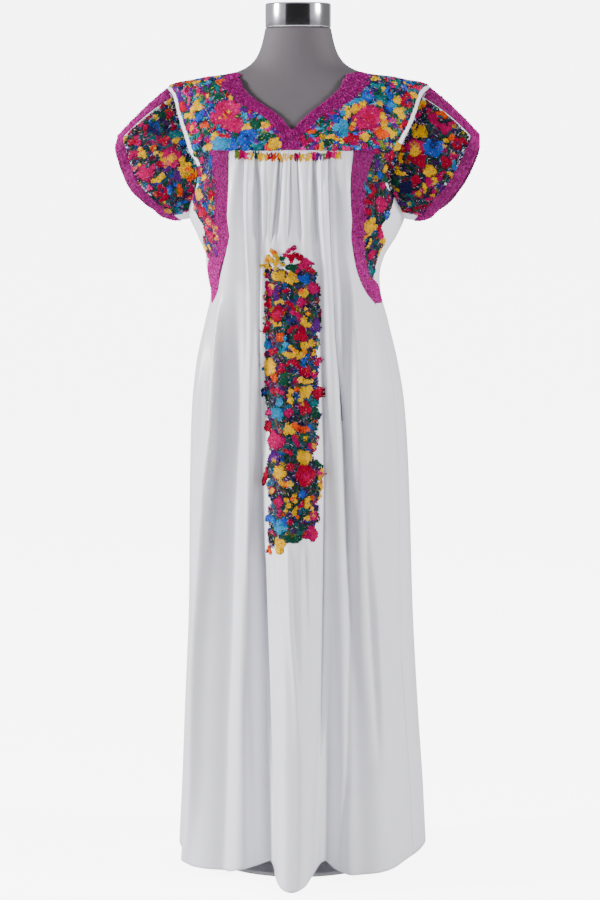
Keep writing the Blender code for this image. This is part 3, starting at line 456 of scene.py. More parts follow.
def sleeve(turn, s):
    """Points in mm of the wearer's-left sleeve."""
    turn, half, s = np.broadcast_arrays(*turn_and_half(turn), np.asarray(s, float))
    forward = np.where(turn <= 180, -1, 1)
    root = body(*arm_seam(turn), False)
    hem = np.stack([arm_line(half, 3), forward * arm_line(half, 4), arm_line(half, 5)], -1)
    radians = np.radians(turn)
    out = unit(np.stack([0.35 + 0 * turn, -np.sin(radians), np.cos(radians)], -1))
    rise = SLEEVE_PUFF * 4 * s * (1 - s) * (0.4 + 0.6 * np.abs(np.sin(radians)))
    for middle, width, near, far in SLEEVE_FOLDS:
        rise = rise + (near * 4 * s * (1 - s) + far * s * s) * np.exp(-((turn - middle) / width) ** 2)
    return root + (hem - root) * s[..., None] + out * rise[..., None]


def cuff_line(turn):
    """Share of the way to the hem where the cuff begins."""
    return 1 - CUFF_WIDTH / np.linalg.norm(sleeve(turn, 1) - sleeve(turn, 0), axis=-1)


def seam_angle(z, edge):
    """Angle of a panel's side seam; edge 1 or 2 picks the band's inner or outer edge above its tip."""
    share = smooth(SIDE_JOIN, HEM, z)
    plain = SEAM_ANGLE[0] + (SEAM_ANGLE[1] - SEAM_ANGLE[0]) * share
    return np.where(z >= BAND_TIP, band_line(z, edge), plain)


def hem_drop(phi, z):
    """Move the lowest rows of a panel to the wavy hem."""
    return (hem_line(phi, 1) - HEM) * np.clip(1 - (z - HEM) / 60, 0, 1)


def front_angle(x, z):
    """Angle round the body of a place given in front view."""
    return np.degrees(np.arcsin(np.clip(x / section(z, 1), -1, 1)))


def steps(count):
    return np.linspace(0, 1, count)


def between(start, end, rows):
    """Body surface in rows from one line of angles and heights to another."""
    v = steps(rows)[:, None]
    return body(start[0] + (end[0] - start[0]) * v, start[1] + (end[1] - start[1]) * v)


# ---------------- grids of each piece, rows by columns
def panel_grid(front, rows, columns):
    v, u = steps(rows)[:, None], steps(columns)[None, :]
    z = HEM + (YOKE_FOOT - HEM) * v + 0 * u
    u = u + (0.45 if front else 0.2) * np.sin(2 * np.pi * u) / (2 * np.pi)
    phi = seam_angle(z, 1 if front else 2) * (2 * u - 1) + (0 if front else 180)
    return body(phi, z + hem_drop(phi, z))


def side_grids():
    """Wearer's-left side panel: below the arm, beside the armhole, and the narrow ends above."""
    lead, under = 8, 24
    last = lead + under
    j = np.arange(last + 1)
    strip_z = np.linspace(YOKE_FOOT, STRIP_LEVEL, 12)
    strip_turn = np.array([turn_at(level) for level in strip_z])
    edge = seam_angle(strip_z, 2)[:, None]
    strip_phi = edge + (arm_inner(strip_turn)[0][:, None] - edge) * np.arange(lead + 1) / lead
    arm_phi, arm_z = arm_inner(np.linspace(strip_turn[-1], 180, under + 1))
    top_phi = np.concatenate([strip_phi[-1, :lead], arm_phi])
    top_z = np.concatenate([np.full(lead, STRIP_LEVEL), arm_z])
    share = j / last * (1 - 0.25 * (1 - j / last))
    start = seam_angle(UNDERARM_LEVEL, 2)
    foot = start + (90 - start) * share
    v = steps(28)[:, None]
    height = UNDERARM_LEVEL + (STRIP_LEVEL - UNDERARM_LEVEL) * v
    left = seam_angle(height, 2) - (start + (seam_angle(STRIP_LEVEL, 2) - start) * v)
    upper_phi = foot + (top_phi - foot) * v + left * np.clip(1 - j / lead, 0, 1)
    upper_z = UNDERARM_LEVEL + (top_z - UNDERARM_LEVEL) * v
    low_z = np.concatenate([np.linspace(HEM, 870, 90), np.linspace(875, UNDERARM_LEVEL, 20)])[:, None]
    share = j / last * (1 - 0.25 * (1 - j / last) * smooth(700, UNDERARM_LEVEL, low_z))
    low_edge = seam_angle(low_z, 2)
    low_phi = low_edge + (90 - low_edge) * share

    def both(phi, z):
        z = np.broadcast_to(z, phi.shape)
        phi, z = np.hstack([phi, 180 - phi[:, -2::-1]]), np.hstack([z, z[:, -2::-1]])
        return body(phi, z + hem_drop(phi, z))

    return [both(low_phi, low_z), both(upper_phi, upper_z), body(strip_phi[::-1], strip_z[::-1, None]),
            body(180 - strip_phi[::-1, ::-1], strip_z[::-1, None])]


def band_grid(rows, columns, extra=None):
    """Wearer's-left crochet band; extra gives the angle by which its outer edge moves out."""
    z = (BAND_TIP + (YOKE_FOOT - BAND_TIP) * steps(rows))[:, None]
    u = steps(columns)[None, :]
    outer = band_line(z, 2) + (extra(z, 1) if extra else 0)
    return body(band_line(z, 1) * (1 - u) + outer * u, z + 0 * u)


def neck_grid(rows, half_columns):
    """Ring round the neck, from its inner to its outer edge."""
    step = np.concatenate([np.linspace(0, 2, 12, endpoint=False), np.linspace(2, 15, half_columns)])
    inner_phi, inner_z, outer_phi, outer_z = (neck_line(step, column) for column in (1, 2, 3, 4))
    before = step < 2
    outer_phi = np.where(before, 3 * np.minimum(step, 1), outer_phi)
    outer_z = np.where(before, YOKE_FOOT + 1 + 15 * np.maximum(step - 1, 0), outer_z)
    left, right = (between((inner_phi + neck_ease(step, column), inner_z + neck_ease(step, column + 1)),
                           (outer_phi, outer_z), rows) for column in (1, 3))
    return np.hstack([left, right[:, -2:0:-1] * MIRROR])


def yoke_grid(rows, foot, arm):
    """Ring from the neck band to the yoke's outer edge; foot and arm count the columns of each stretch."""
    corner = turn_at(YOKE_FOOT)
    first = arm_inner(corner)[0]
    front_phi = np.linspace(3, first, foot, endpoint=False)
    above_phi, above_z = arm_inner(np.linspace(corner, 0, arm, endpoint=False))
    phi = np.concatenate([front_phi, above_phi])
    z = np.concatenate([np.full(foot, YOKE_FOOT), above_z])
    crown = arm_inner(0.0)
    phi = np.concatenate([phi, [90.0], 180 - phi[:foot - 1:-1], 180 - first + first * steps(foot + 1)[1:]])
    z = np.concatenate([z, [crown[1]], z[:foot - 1:-1], np.full(foot, YOKE_FOOT)])
    step = match_line(np.concatenate([
        np.linspace(0, 0.25, foot, endpoint=False), np.linspace(0.25, 0.5, arm, endpoint=False),
        np.linspace(0.5, 0.75, arm, endpoint=False), np.linspace(0.75, 1, foot + 1)]), 1)
    half = between((neck_line(step, 3), neck_line(step, 4)), (phi, z), rows)
    return np.hstack([half, half[:, -2::-1] * MIRROR])


def arm_strip_grid(rows, columns):
    turn = np.linspace(0, 360, columns, endpoint=False)
    return between(arm_inner(turn), arm_seam(turn), rows)


def strip_flower_grid(high, low):
    """Front of the armhole strip between two heights, where flowers run across it onto the sleeve."""
    turn = np.linspace(turn_at(high), turn_at(low), 60)
    return between(arm_inner(turn, STRIP_WIDTH + 2), arm_seam(turn), 14)


def side_flower_grid(foot):
    """Part of the side panel beside the band that flowers cover."""
    z, u = np.linspace(foot, YOKE_FOOT + 1, 120)[:, None], steps(40)[None, :]
    edge = seam_angle(z, 2) - 0.4
    return body(edge + (flower_edge(z, 1) - edge) * u, z + 0 * u)


def column_grid():
    """Ground of the flower column down the skirt: it lies within the blooms' ragged outline."""
    v, u = steps(200)[:, None], steps(50)[None, :]
    foot = 514 + 26 * u
    head = 951 + 5 * np.sin(u * 9 + 1) + 4 * np.sin(u * 23)
    z = foot + (head - foot) * v
    wobble = 2.2 * np.sin(z / 6.1) + 1.6 * np.sin(z / 2.9 + 1)
    left, right = column_line(z, 1) + wobble, column_line(z, 2) - wobble
    return body(front_angle(left + (right - left) * u, z), z)


def sleeve_grid(rows, columns, near, far, high=1.0):
    """Sleeve surface from the cuff up; near and far give the turn at either side for a share s."""
    v, u = high * (1 - steps(rows))[:, None], steps(columns)[None, :]
    s = v + 0 * u
    for _ in range(3):
        turn = near(s) + (far(s) - near(s)) * u
        s = 0.01 + (cuff_line(turn) - 0.01) * v
    return sleeve(near(s) + (far(s) - near(s)) * u, s)


def top_edge(s):
    """Turn of the top strip's edge for a share s of the sleeve."""
    return TOP_STRIP_HALF[0] + (TOP_STRIP_HALF[1] - TOP_STRIP_HALF[0]) * s


def cuff_grid(rows, columns, extra=0.0):
    """Crochet edge of the sleeve, wider by extra mm and most so where it turns up to the top strip."""
    turn = np.linspace(0, 360, columns, endpoint=False)
    v = steps(rows)[:, None]
    extra = extra + extra * 1.2 * np.exp(-((np.abs(turn - 180) - 32) / 20) ** 2)
    line = cuff_line(turn) - extra / np.linalg.norm(sleeve(turn, 1) - sleeve(turn, 0), axis=-1)
    return sleeve(turn, 1 + (line - 1) * v)


# ---------------- materials
def linear(code):
    """Linear colour of an sRGB hex code."""
    parts = [int(code[i:i + 2], 16) / 255 for i in (0, 2, 4)]
    return tuple(c / 12.92 if c <= 0.04045 else ((c + 0.055) / 1.055) ** 2.4 for c in parts)


def rgba(code):
    return (*linear(code), 1.0)


def node(tree, kind, settings=(), **inputs):
    """Add a node; inputs are constants or sockets, named as on the node with _ for a space."""
    made = tree.nodes.new("ShaderNode" + kind)
    for key, value in dict(settings).items():
        setattr(made, key, value)
    for key, value in inputs.items():
        socket = made.inputs[int(key[1:])] if key[1:].isdigit() else made.inputs[key.replace("_", " ")]
        if isinstance(value, bpy.types.NodeSocket):
            tree.links.new(value, socket)
        else:
            socket.default_value = value
    return made


def times_plus(tree, value, factor, extra):
    return node(tree, "Math", {"operation": "MULTIPLY_ADD"}, _0=value, _1=factor, _2=extra).outputs[0]


def noise(tree, place, scale, detail, output="Fac"):
    return node(tree, "TexNoise", Vector=place, Scale=scale, Detail=detail).outputs[output]


def ribs(tree, place, direction, scale):
    bands = {"wave_type": "BANDS", "bands_direction": direction}
    return node(tree, "TexWave", bands, Vector=place, Scale=scale).outputs["Fac"]


def two_tone(tree, share, low, high):
    return node(tree, "Mix", {"data_type": "RGBA"}, _0=share, _6=rgba(low), _7=rgba(high)).outputs[2]


def ranged(tree, value, low, high):
    return node(tree, "MapRange", Value=value, To_Min=low, To_Max=high).outputs[0]


def stranded(tree, colour, strands, low, high):
    """Colour that is darker and lighter from strand to strand."""
    multiply = {"data_type": "RGBA", "blend_type": "MULTIPLY"}
    return node(tree, "Mix", multiply, _0=1.0, _6=colour, _7=ranged(tree, strands, low, high)).outputs[2]


def relief(tree, height, strength, distance):
    return node(tree, "Bump", Strength=strength, Distance=distance, Height=height).outputs[0]


def new_material(name, paint, *values):
    """New material; paint adds its nodes and gives the shader's inputs."""
    made = bpy.data.materials.new(name)
    made.use_nodes = True
    tree = made.node_tree
    tree.nodes.clear()
    shader = node(tree, "BsdfPrincipled", **paint(tree, *values))
    tree.links.new(shader.outputs[0], node(tree, "OutputMaterial").inputs[0])
    return made


def object_place(tree):
    return node(tree, "TexCoord").outputs["Object"]


def cotton(tree):
    """White poplin: a fine even weave that only shows close up, faintly uneven in tone."""
    place = object_place(tree)
    weave = node(tree, "Math", {"operation": "MAXIMUM"}, _0=ribs(tree, place, "X", 360.0),
                 _1=ribs(tree, place, "Z", 360.0)).outputs[0]
    cloud = noise(tree, place, 22.0, 4.0)
    grain = node(tree, "Mix", {"data_type": "FLOAT"}, _0=0.5, _2=weave, _3=cloud).outputs[0]
    return dict(Base_Color=two_tone(tree, cloud, "e6e6ed", "efeff6"), Roughness=0.34,
                Specular_IOR_Level=0.5, Sheen_Weight=0.1, Sheen_Roughness=0.6,
                Normal=relief(tree, grain, 0.12, 0.0004))


def thread(tree, roughness):
    """Cotton floss or yarn: colour comes with each stitch, fine twisted strands break up its light."""
    strands = noise(tree, object_place(tree), 1400.0, 2.0)
    colour = node(tree, "VertexColor", {"layer_name": "floss"}).outputs["Color"]
    return dict(Base_Color=stranded(tree, colour, strands, 0.78, 1.12), Roughness=roughness,
                Normal=relief(tree, strands, 0.3, 0.0003), Specular_IOR_Level=0.08)


def satin(tree, lift):
    """Close satin stitch seen between the blooms: small patches of dark leaf colours broken into strands.

    Lift makes the patches paler.
    """
    place = object_place(tree)
    moved = node(tree, "Mix", {"data_type": "VECTOR"}, _0=0.02, _4=place,
                 _5=noise(tree, place, 160.0, 2.0, "Color")).outputs[1]
    patches = node(tree, "TexVoronoi", Vector=moved, Scale=150.0).outputs["Color"]
    tone = node(tree, "ValToRGB", Fac=node(tree, "SeparateColor", Color=patches).outputs[0])
    ramp = tone.color_ramp
    ramp.interpolation = "CONSTANT"
    while len(ramp.elements) < len(SATIN_TONES):
        ramp.elements.new(0.5)
    for order, (stop, code) in enumerate(zip(ramp.elements, SATIN_TONES)):
        stop.position = order / len(SATIN_TONES)
        stop.color = (*(channel * lift + 0.01 * (lift - 1) for channel in linear(code)), 1.0)
    strands = noise(tree, place, 900.0, 2.0)
    return dict(Base_Color=stranded(tree, tone.outputs["Color"], strands, 0.55, 1.25), Roughness=0.7,
                Normal=relief(tree, strands, 0.5, 0.0005))


def crochet_shaded_ground(tree):
    """Purple cotton yarn seen between the crochet stitches, matt, with painted shade: darker than the
    stitches for the shade between them.
    """
    fuzz = noise(tree, object_place(tree), 500.0, 3.0)
    return dict(Base_Color=two_tone(tree, fuzz, "5e1248", "8c1c6c"), Roughness=0.9,
                Normal=relief(tree, fuzz, 0.5, 0.0008))


def jersey(tree):
    """Grey stretch jersey over the form: fine upright ribs and a soft uneven tone."""
    place = object_place(tree)
    cloud = noise(tree, place, 14.0, 3.0)
    return dict(Base_Color=two_tone(tree, cloud, "555054", "5e595d"), Roughness=0.75,
                Normal=relief(tree, ribs(tree, place, "X", 300.0), 0.15, 0.0004))


def chrome(tree):
    """Polished chrome: near mirror with faint smears."""
    smears = noise(tree, object_place(tree), 35.0, 3.0)
    return dict(Base_Color=rgba("c9c8cc"), Metallic=1.0, Roughness=ranged(tree, smears, 0.1, 0.18))


def steel(tree):
    """Grey powder-coated steel with a fine orange-peel surface."""
    peel = noise(tree, object_place(tree), 420.0, 2.0)
    return dict(Base_Color=rgba("dcdce0"), Roughness=0.35, Normal=relief(tree, peel, 0.2, 0.0003))


def glowing(tree, colour, glow, seen_glow=0.0):
    """Matt studio surface that glows by itself, and more where the camera sees it."""
    if seen_glow:
        glow = times_plus(tree, node(tree, "LightPath").outputs["Is Camera Ray"], seen_glow, glow)
    return dict(Base_Color=rgba(colour), Roughness=1.0, Specular_IOR_Level=0.0,
                Emission_Color=rgba("ffffff"), Emission_Strength=glow)


COTTON = new_material("white_cotton_poplin", cotton)
SATIN = new_material("satin_stitch_ground", satin, 1.0)
PALE_SATIN = new_material("satin_stitch_yoke", satin, 2.6)
FLOSS = new_material("embroidery_floss", thread, 0.8)
YARN = new_material("crochet_yarn", thread, 0.85)
# darker purple yarn: painted shade for the gaps between crochet stitches
CROCHET_SHADED_GROUND = new_material("purple_crochet_painted_shade", crochet_shaded_ground)
JERSEY = new_material("grey_jersey", jersey)
CHROME = new_material("polished_chrome", chrome)
STEEL = new_material("grey_powder_coated_steel", steel)


# ---------------- building meshes
def new_object(name, data):
    item = bpy.data.objects.new(name, data)
    bpy.context.scene.collection.objects.link(item)
    return item


def add_piece(name, mesh, material, node_names=()):
    item = new_object(name, mesh)
    mesh.materials.append(material)
    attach(item, "root")
    if node_names:
        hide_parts(*node_names)
    return item


def to_mesh(name, shape, rounded=lambda face: True):
    """Mesh of a bmesh, which is then freed; rounded tells which faces are shaded smooth."""
    mesh = bpy.data.meshes.new(name)
    shape.to_mesh(mesh)
    shape.free()
    mesh.polygons.foreach_set("use_smooth", np.array([rounded(face) for face in mesh.polygons]))
    return mesh


def cloth(name, grids, material, node_names=(), closed=False, mirrored=False, thick=WALL):
    """Thin shell through grids of points, made from flat grids whose points are then moved."""
    shell = bmesh.new()
    for points in grids:
        rows, columns = points.shape[:2]
        if mirrored:
            points = points[:, ::-1] * MIRROR
        across = columns if closed else columns - 1
        if closed:
            points = np.hstack([points, points[:, :1]])
        points = placed(points)
        made = bmesh.ops.create_grid(shell, x_segments=across, y_segments=rows - 1, size=0.5)["verts"]
        for vert in made:
            j, i = round((vert.co.x + 0.5) * across), round((vert.co.y + 0.5) * (rows - 1))
            vert.co = Vector(points[i, j] * MM)
    bmesh.ops.remove_doubles(shell, verts=shell.verts, dist=0.00001)
    item = add_piece(name, to_mesh(name, shell), material, node_names)
    wall = item.modifiers.new("wall", "SOLIDIFY")
    wall.thickness, wall.offset = thick * MM, 0.0
    return item


def coloured_mesh(name, points, faces, colours):
    """One mesh of many triangles, with a colour at each point."""
    mesh = bpy.data.meshes.new(name)
    mesh.vertices.add(len(points))
    mesh.vertices.foreach_set("co", np.asarray(points, np.float32).ravel())
    faces = np.asarray(faces, np.int32)
    mesh.loops.add(faces.size)
    mesh.loops.foreach_set("vertex_index", faces.ravel())
    mesh.polygons.add(len(faces))
    mesh.polygons.foreach_set("loop_start", np.arange(0, faces.size, 3, dtype=np.int32))
    mesh.polygons.foreach_set("loop_total", np.full(len(faces), 3, np.int32))
    mesh.polygons.foreach_set("use_smooth", np.ones(len(faces), bool))
    layer = mesh.color_attributes.new("floss", "FLOAT_COLOR", "POINT")
    layer.data.foreach_set("color", np.asarray(colours, np.float32).ravel())
    mesh.update(calc_edges=True)
    mesh.validate()
    return mesh


def add_stitches(name, start, end, normal, width, height, lift, colour, material):
    """Piece of many short thread stitches that lie on the cloth, each a low roof over four corners."""
    count = len(start)
    along = end - start
    side = unit(np.cross(along, normal))
    width, height, lift = (np.broadcast_to(value, count)[:, None, None] for value in (width, height, lift))
    share, across, up = (column[None, :, None] for column in STITCH.T)
    points = (start[:, None] + along[:, None] * share + side[:, None] * across * width
              + normal[:, None] * (lift - STITCH_SINK + up * height))
    points = placed(points.reshape(-1, 3)) * MM
    faces = (STITCH_FACES[None] + len(STITCH) * np.arange(count)[:, None, None]).reshape(-1, 3)
    # painted light and shade: each stitch lighter on its ridge and darker at its foot
    tint = np.clip(colour[:, None, :] * STITCH_PAINTED_LIGHT, 0, 1)
    colours = np.concatenate([tint, np.ones((count, len(STITCH), 1))], -1).reshape(-1, 4)
    return add_piece(name, coloured_mesh(name, points, faces, colours), material)


# ---------------- surfaces to sew on
def from_axis(points):
    """Direction away from the body's upright axis, tilted up on the shoulders."""
    away = points * (1, 1, 0)
    away[..., 2] = np.clip((points[..., 2] - 1190) * 1.5, 0, 200)
    return unit(away)


def from_sleeve(points):
    """Direction away from the middle of the sleeve."""
    centre = np.array([np.sign(points[..., 0].mean()) * 215, 0, 1118])
    return unit((points - centre) * (0.4, 1, 1))


def search_tree(points):
    tree = KDTree(len(points))
    for index, point in enumerate(points):
        tree.insert(point, index)
    tree.balance()
    return tree


class Ground:
    """A surface to sew on: nearest point and normal, and random points spread by area."""

    def __init__(self, points, outward):
        self.points = points
        normals = unit(np.cross(np.gradient(points, axis=1), np.gradient(points, axis=0)))
        inward = np.sum(normals * outward(points), -1, keepdims=True) < 0
        self.normals = np.where(inward, -normals, normals)
        self.flat = points.reshape(-1, 3)
        self.flat_normals = self.normals.reshape(-1, 3)
        self.tree = search_tree(self.flat)

    def scatter(self, rng, count):
        """Random points, their normals and the whole area."""
        p = self.points
        cell = np.linalg.norm(np.cross(p[1:, :-1] - p[:-1, :-1], p[:-1, 1:] - p[:-1, :-1]), axis=-1)
        chance = (cell / cell.sum()).ravel()
        pick = rng.choice(len(chance), count, p=chance)
        i, j = pick // cell.shape[1], pick % cell.shape[1]
        a, b = rng.random((count, 1)), rng.random((count, 1))
        spot = (p[i, j] * (1 - a) * (1 - b) + p[i + 1, j] * a * (1 - b)
                + p[i, j + 1] * (1 - a) * b + p[i + 1, j + 1] * a * b)
        return spot, self.normals[i, j], cell.sum()

    def snap(self, spots):
        """Move points onto the surface; also give the normals and how far each had to slide."""
        found = [self.tree.find(spot)[1] for spot in spots]
        near, normal = self.flat[found], self.flat_normals[found]
        off = spots - near
        away = np.sum(off * normal, -1, keepdims=True)
        slide = np.linalg.norm(off - normal * away, axis=-1)
        return spots - normal * away, normal, slide

    def find_front(self, x, z):
        """Nearest point that faces the front, with its normal, for a place given in front view."""
        away = (self.flat[:, 0] - x) ** 2 + (self.flat[:, 2] - z) ** 2
        index = int(np.argmin(np.where(self.flat_normals[:, 1] < 0.25, away, 1e9)))
        return self.flat[index], self.flat_normals[index]


def spread(spots, gap):
    """Indices of points that are at least a gap apart; the first of two too close ones is kept."""
    kept, cells = [], {}
    for index, spot in enumerate(spots):
        key = tuple(int(value // gap) for value in spot)
        near = [other for dx in (-1, 0, 1) for dy in (-1, 0, 1) for dz in (-1, 0, 1)
                for other in cells.get((key[0] + dx, key[1] + dy, key[2] + dz), ())]
        if all(np.sum((spots[other] - spot) ** 2) > gap * gap for other in near):
            kept.append(index)
            cells.setdefault(key, []).append(index)
    return np.array(kept, int)


def tangents(normal, angle):
    """Direction in each tangent plane at an angle from the sideways one."""
    side = unit(np.cross(np.array([0.0, 0.0, 1.0]), normal) + 1e-6)
    up = np.cross(normal, side)
    return side * np.cos(angle)[:, None] + up * np.sin(angle)[:, None]


# ---------------- embroidery and crochet
FLOSS_NAMES = "".join(row[0] for row in PALETTE)
FLOSS_COLOURS = np.array([linear(row[1]) for row in PALETTE])
BLOOM_SHARE, LEAF_SHARE = (np.array([row[k] for row in PALETTE]) for k in (2, 3))


class Stitching:
    """Stitches of one piece, in batches of starts, ends, colours, lifts and widths."""

    def __init__(self, seed, dense, deep):
        self.rng = np.random.default_rng(seed)
        self.dense, self.deep = dense, deep
        self.batches = []

    def sew(self, middle, half, tint, lift, width):
        """Stitches by their middles and half lengths."""
        lifts = lift + self.rng.uniform(0, 0.4, len(middle))
        widths = width * self.rng.uniform(0.8, 1.2, len(middle))
        self.batches.append((middle - half, middle + half, tint, lifts, widths))

    def columns(self):
        return (np.concatenate(column) for column in zip(*self.batches))


def place_blooms(rng, ground, host, area, table, gaps):
    """Middle, normal, radius and floss of the blooms: those of a table, then small ones at random."""
    blooms = [(*host.find_front(x, z), size * 0.92, FLOSS_NAMES.index(tone)) for x, z, size, tone in table]
    for gap, (low, high), in_table in zip(gaps, RANDOM_BLOOMS, (bool(table), False)):
        spots, normals, _ = ground.scatter(rng, int(area / 12) + 20)
        for index in spread(spots, gap):
            size = rng.uniform(low, high)
            if not in_table and all(np.linalg.norm(spots[index] - middle) > (radius + size) * 0.85
                                    for middle, _, radius, _ in blooms):
                tone = rng.choice(len(PALETTE), p=BLOOM_SHARE / BLOOM_SHARE.sum())
                blooms.append((spots[index], normals[index], size, tone))
    return blooms


def grow_petals(rng, blooms):
    """Middle, radius, bloom, slant and colour of each petal: a bloom is a clump or a bent run of them."""
    petals = []
    for own, (middle, normal, size, tone) in enumerate(blooms):
        large = size > LARGE_BLOOM
        count = int(rng.integers(3, 6)) + large * 3
        if size > 9.5 or rng.random() < 0.45:
            turn = rng.uniform(0, 6.3) + np.arange(count) * 2 * np.pi / count + rng.normal(0, 0.3, count)
            away = size * rng.uniform(0.4, 0.72, count)
            offset = np.stack([away * np.cos(turn), away * np.sin(turn)], -1)
        else:
            along = np.linspace(-1.1, 1.1, count) * size
            bend = rng.uniform(-0.5, 0.5) * along ** 2 / size + rng.normal(0, 0.08 * size, count)
            turn = rng.uniform(0, 6.3)
            offset = np.stack([along * np.cos(turn) - bend * np.sin(turn),
                               along * np.sin(turn) + bend * np.cos(turn)], -1)
        side, up = (tangents(normal[None], np.full(1, angle))[0] for angle in (0, np.pi / 2))
        hearts = HEARTS.get(FLOSS_NAMES[tone], "y" + FLOSS_NAMES[tone])
        for order, (a, b) in enumerate([(0, 0), *offset]):
            other = rng.random() < (0.08 if order else 0.9 if large else 0.3)
            petals.append((
                middle + side * a + up * b, size * rng.uniform(0.42, 0.6), own,
                np.arctan2(b, a) if order and rng.random() < 0.6 else rng.uniform(0, np.pi),
                FLOSS_COLOURS[FLOSS_NAMES.index(hearts[rng.integers(0, 2)]) if other else tone]
                * rng.uniform(0.72, 1.12)))
    return (np.array(column) for column in zip(*petals))


def sew_petals(work, blooms):
    """Satin stitches in each petal, which meets its neighbours edge to edge; gives middles and radii."""
    rng = work.rng
    petals, sizes, owners, slants, colours = grow_petals(rng, blooms)
    for own, (petal, size, owner) in enumerate(zip(petals, sizes, owners)):
        count = int(np.pi * size * size / 2.2 * work.dense) + 4
        many = np.repeat(blooms[owner][1][None], count, 0)
        share = np.sqrt(rng.random(count))
        spot = petal + tangents(many, rng.uniform(0, 2 * np.pi, count)) * (size * share)[:, None]
        near = np.flatnonzero(np.linalg.norm(petals - petal, axis=-1) < size + sizes)
        rival = np.linalg.norm(spot[:, None] - petals[near], axis=-1) / sizes[near]
        rival[:, (owners[near] == owner) & (near >= own)] = 9.0
        rival[:, (owners[near] == owner) & (near < own)] += share[:, None] * 0.35
        free = rival.min(1) > share + rng.normal(0, 0.06, count)
        slant = tangents(many, slants[own] + rng.normal(0, 0.32, count))
        half = np.clip(size * 0.4, 1.4, 2.7) * rng.uniform(0.75, 1.25, (count, 1))
        shade = rng.uniform(0.8, 1.1, (count, 1)) * (0.6 + 0.4 * min(work.deep, 1.35))
        shade *= np.where((share > 0.8) & (rng.random(count) < 0.3), 0.45, 1.0)[:, None]
        work.sew(spot[free], (slant * half)[free], (colours[own] * shade)[free], 0.35, 1.7)
    return petals, sizes


def sew_leaves(work, ground, area, petals, sizes):
    """Stitches between the petals, in small patches of one colour and one slant."""
    rng = work.rng
    spot, normal, _ = ground.scatter(rng, int(area / 4.0 * work.dense))
    tree = search_tree(spot)
    clear = np.ones(len(spot), bool)
    for petal, size in zip(petals, sizes):
        clear[[found[1] for found in tree.find_range(petal, size * 0.9)]] = False
    spot, normal = spot[clear], normal[clear]
    seeds = spread(spot, 7.0)
    patches = search_tree(spot[seeds])
    patch = np.array([patches.find(point)[1] for point in spot])
    leaf = rng.choice(len(PALETTE), len(seeds), p=LEAF_SHARE / LEAF_SHARE.sum())
    lean = rng.uniform(0, np.pi, len(seeds))
    way = tangents(normal, lean[patch] + rng.normal(0, 0.3, len(spot)))
    half = rng.uniform(1.6, 2.8, (len(spot), 1))
    tint = FLOSS_COLOURS[leaf[patch]] * rng.uniform(0.12, 0.85, (len(spot), 1)) * work.deep
    work.sew(spot, way * half, tint, 0.0, 1.5)


def sew_strands(work, ground, area):
    """Thin loose strands over everything, some of them pale."""
    rng = work.rng
    spot, normal, _ = ground.scatter(rng, int(area / 30 * work.dense))
    way = tangents(normal, rng.uniform(0, np.pi, len(spot)))
    half = rng.uniform(1.2, 2.4, (len(spot), 1))
    tint = FLOSS_COLOURS[rng.choice(len(PALETTE), len(spot))]
    tint = tint * rng.uniform(0.5, 1.2, (len(spot), 1)) * work.deep
    pale = rng.random(len(spot)) < 0.3
    tint[pale] = 0.4 * tint[pale] + linear(PALE_STRAND)
    work.sew(spot, way * half, tint, 0.45, 0.75)


def embroider(name, ground, seed, table=(), host=None, edge=1.6, gaps=(28.0, 15.0), dense=1.0, deep=1.0):
    """Satin-stitch blooms over leaves and strands of mixed floss.

    Stitches lie on the host, which may be larger than the ground, and may pass its border by edge.
    """
    work = Stitching(seed, dense, deep)
    host = host or ground
    area = ground.scatter(work.rng, 1)[2]
    petals, sizes = sew_petals(work, place_blooms(work.rng, ground, host, area, table, gaps))
    sew_leaves(work, ground, area, petals, sizes)
    sew_strands(work, ground, area)
    start, end, tint, lift, width = work.columns()
    start, start_normal, start_slide = host.snap(start)
    end, end_normal, end_slide = host.snap(end)
    length = np.linalg.norm(end - start, axis=-1)
    keep = (start_slide < edge) & (end_slide < edge) & (length > 1.2) & (length < 9)
    normal = unit(start_normal + end_normal)
    return add_stitches(name, start[keep], end[keep], normal[keep], width[keep], 0.85,
                        (lift + WALL / 2 + LINING_LIFT)[keep], tint[keep], FLOSS)


def underlay(name, ground, material, trim=0, closed=False):
    """Thin layer under the stitches, with some rows and columns of its ground left off."""
    lifted = ground.points + ground.normals * (WALL / 2 + LINING_LIFT)
    rows, columns = lifted.shape[:2]
    grid = lifted[trim:rows - trim:2, trim:columns - trim]
    return cloth(name, [grid], material, closed=closed, thick=LINING)


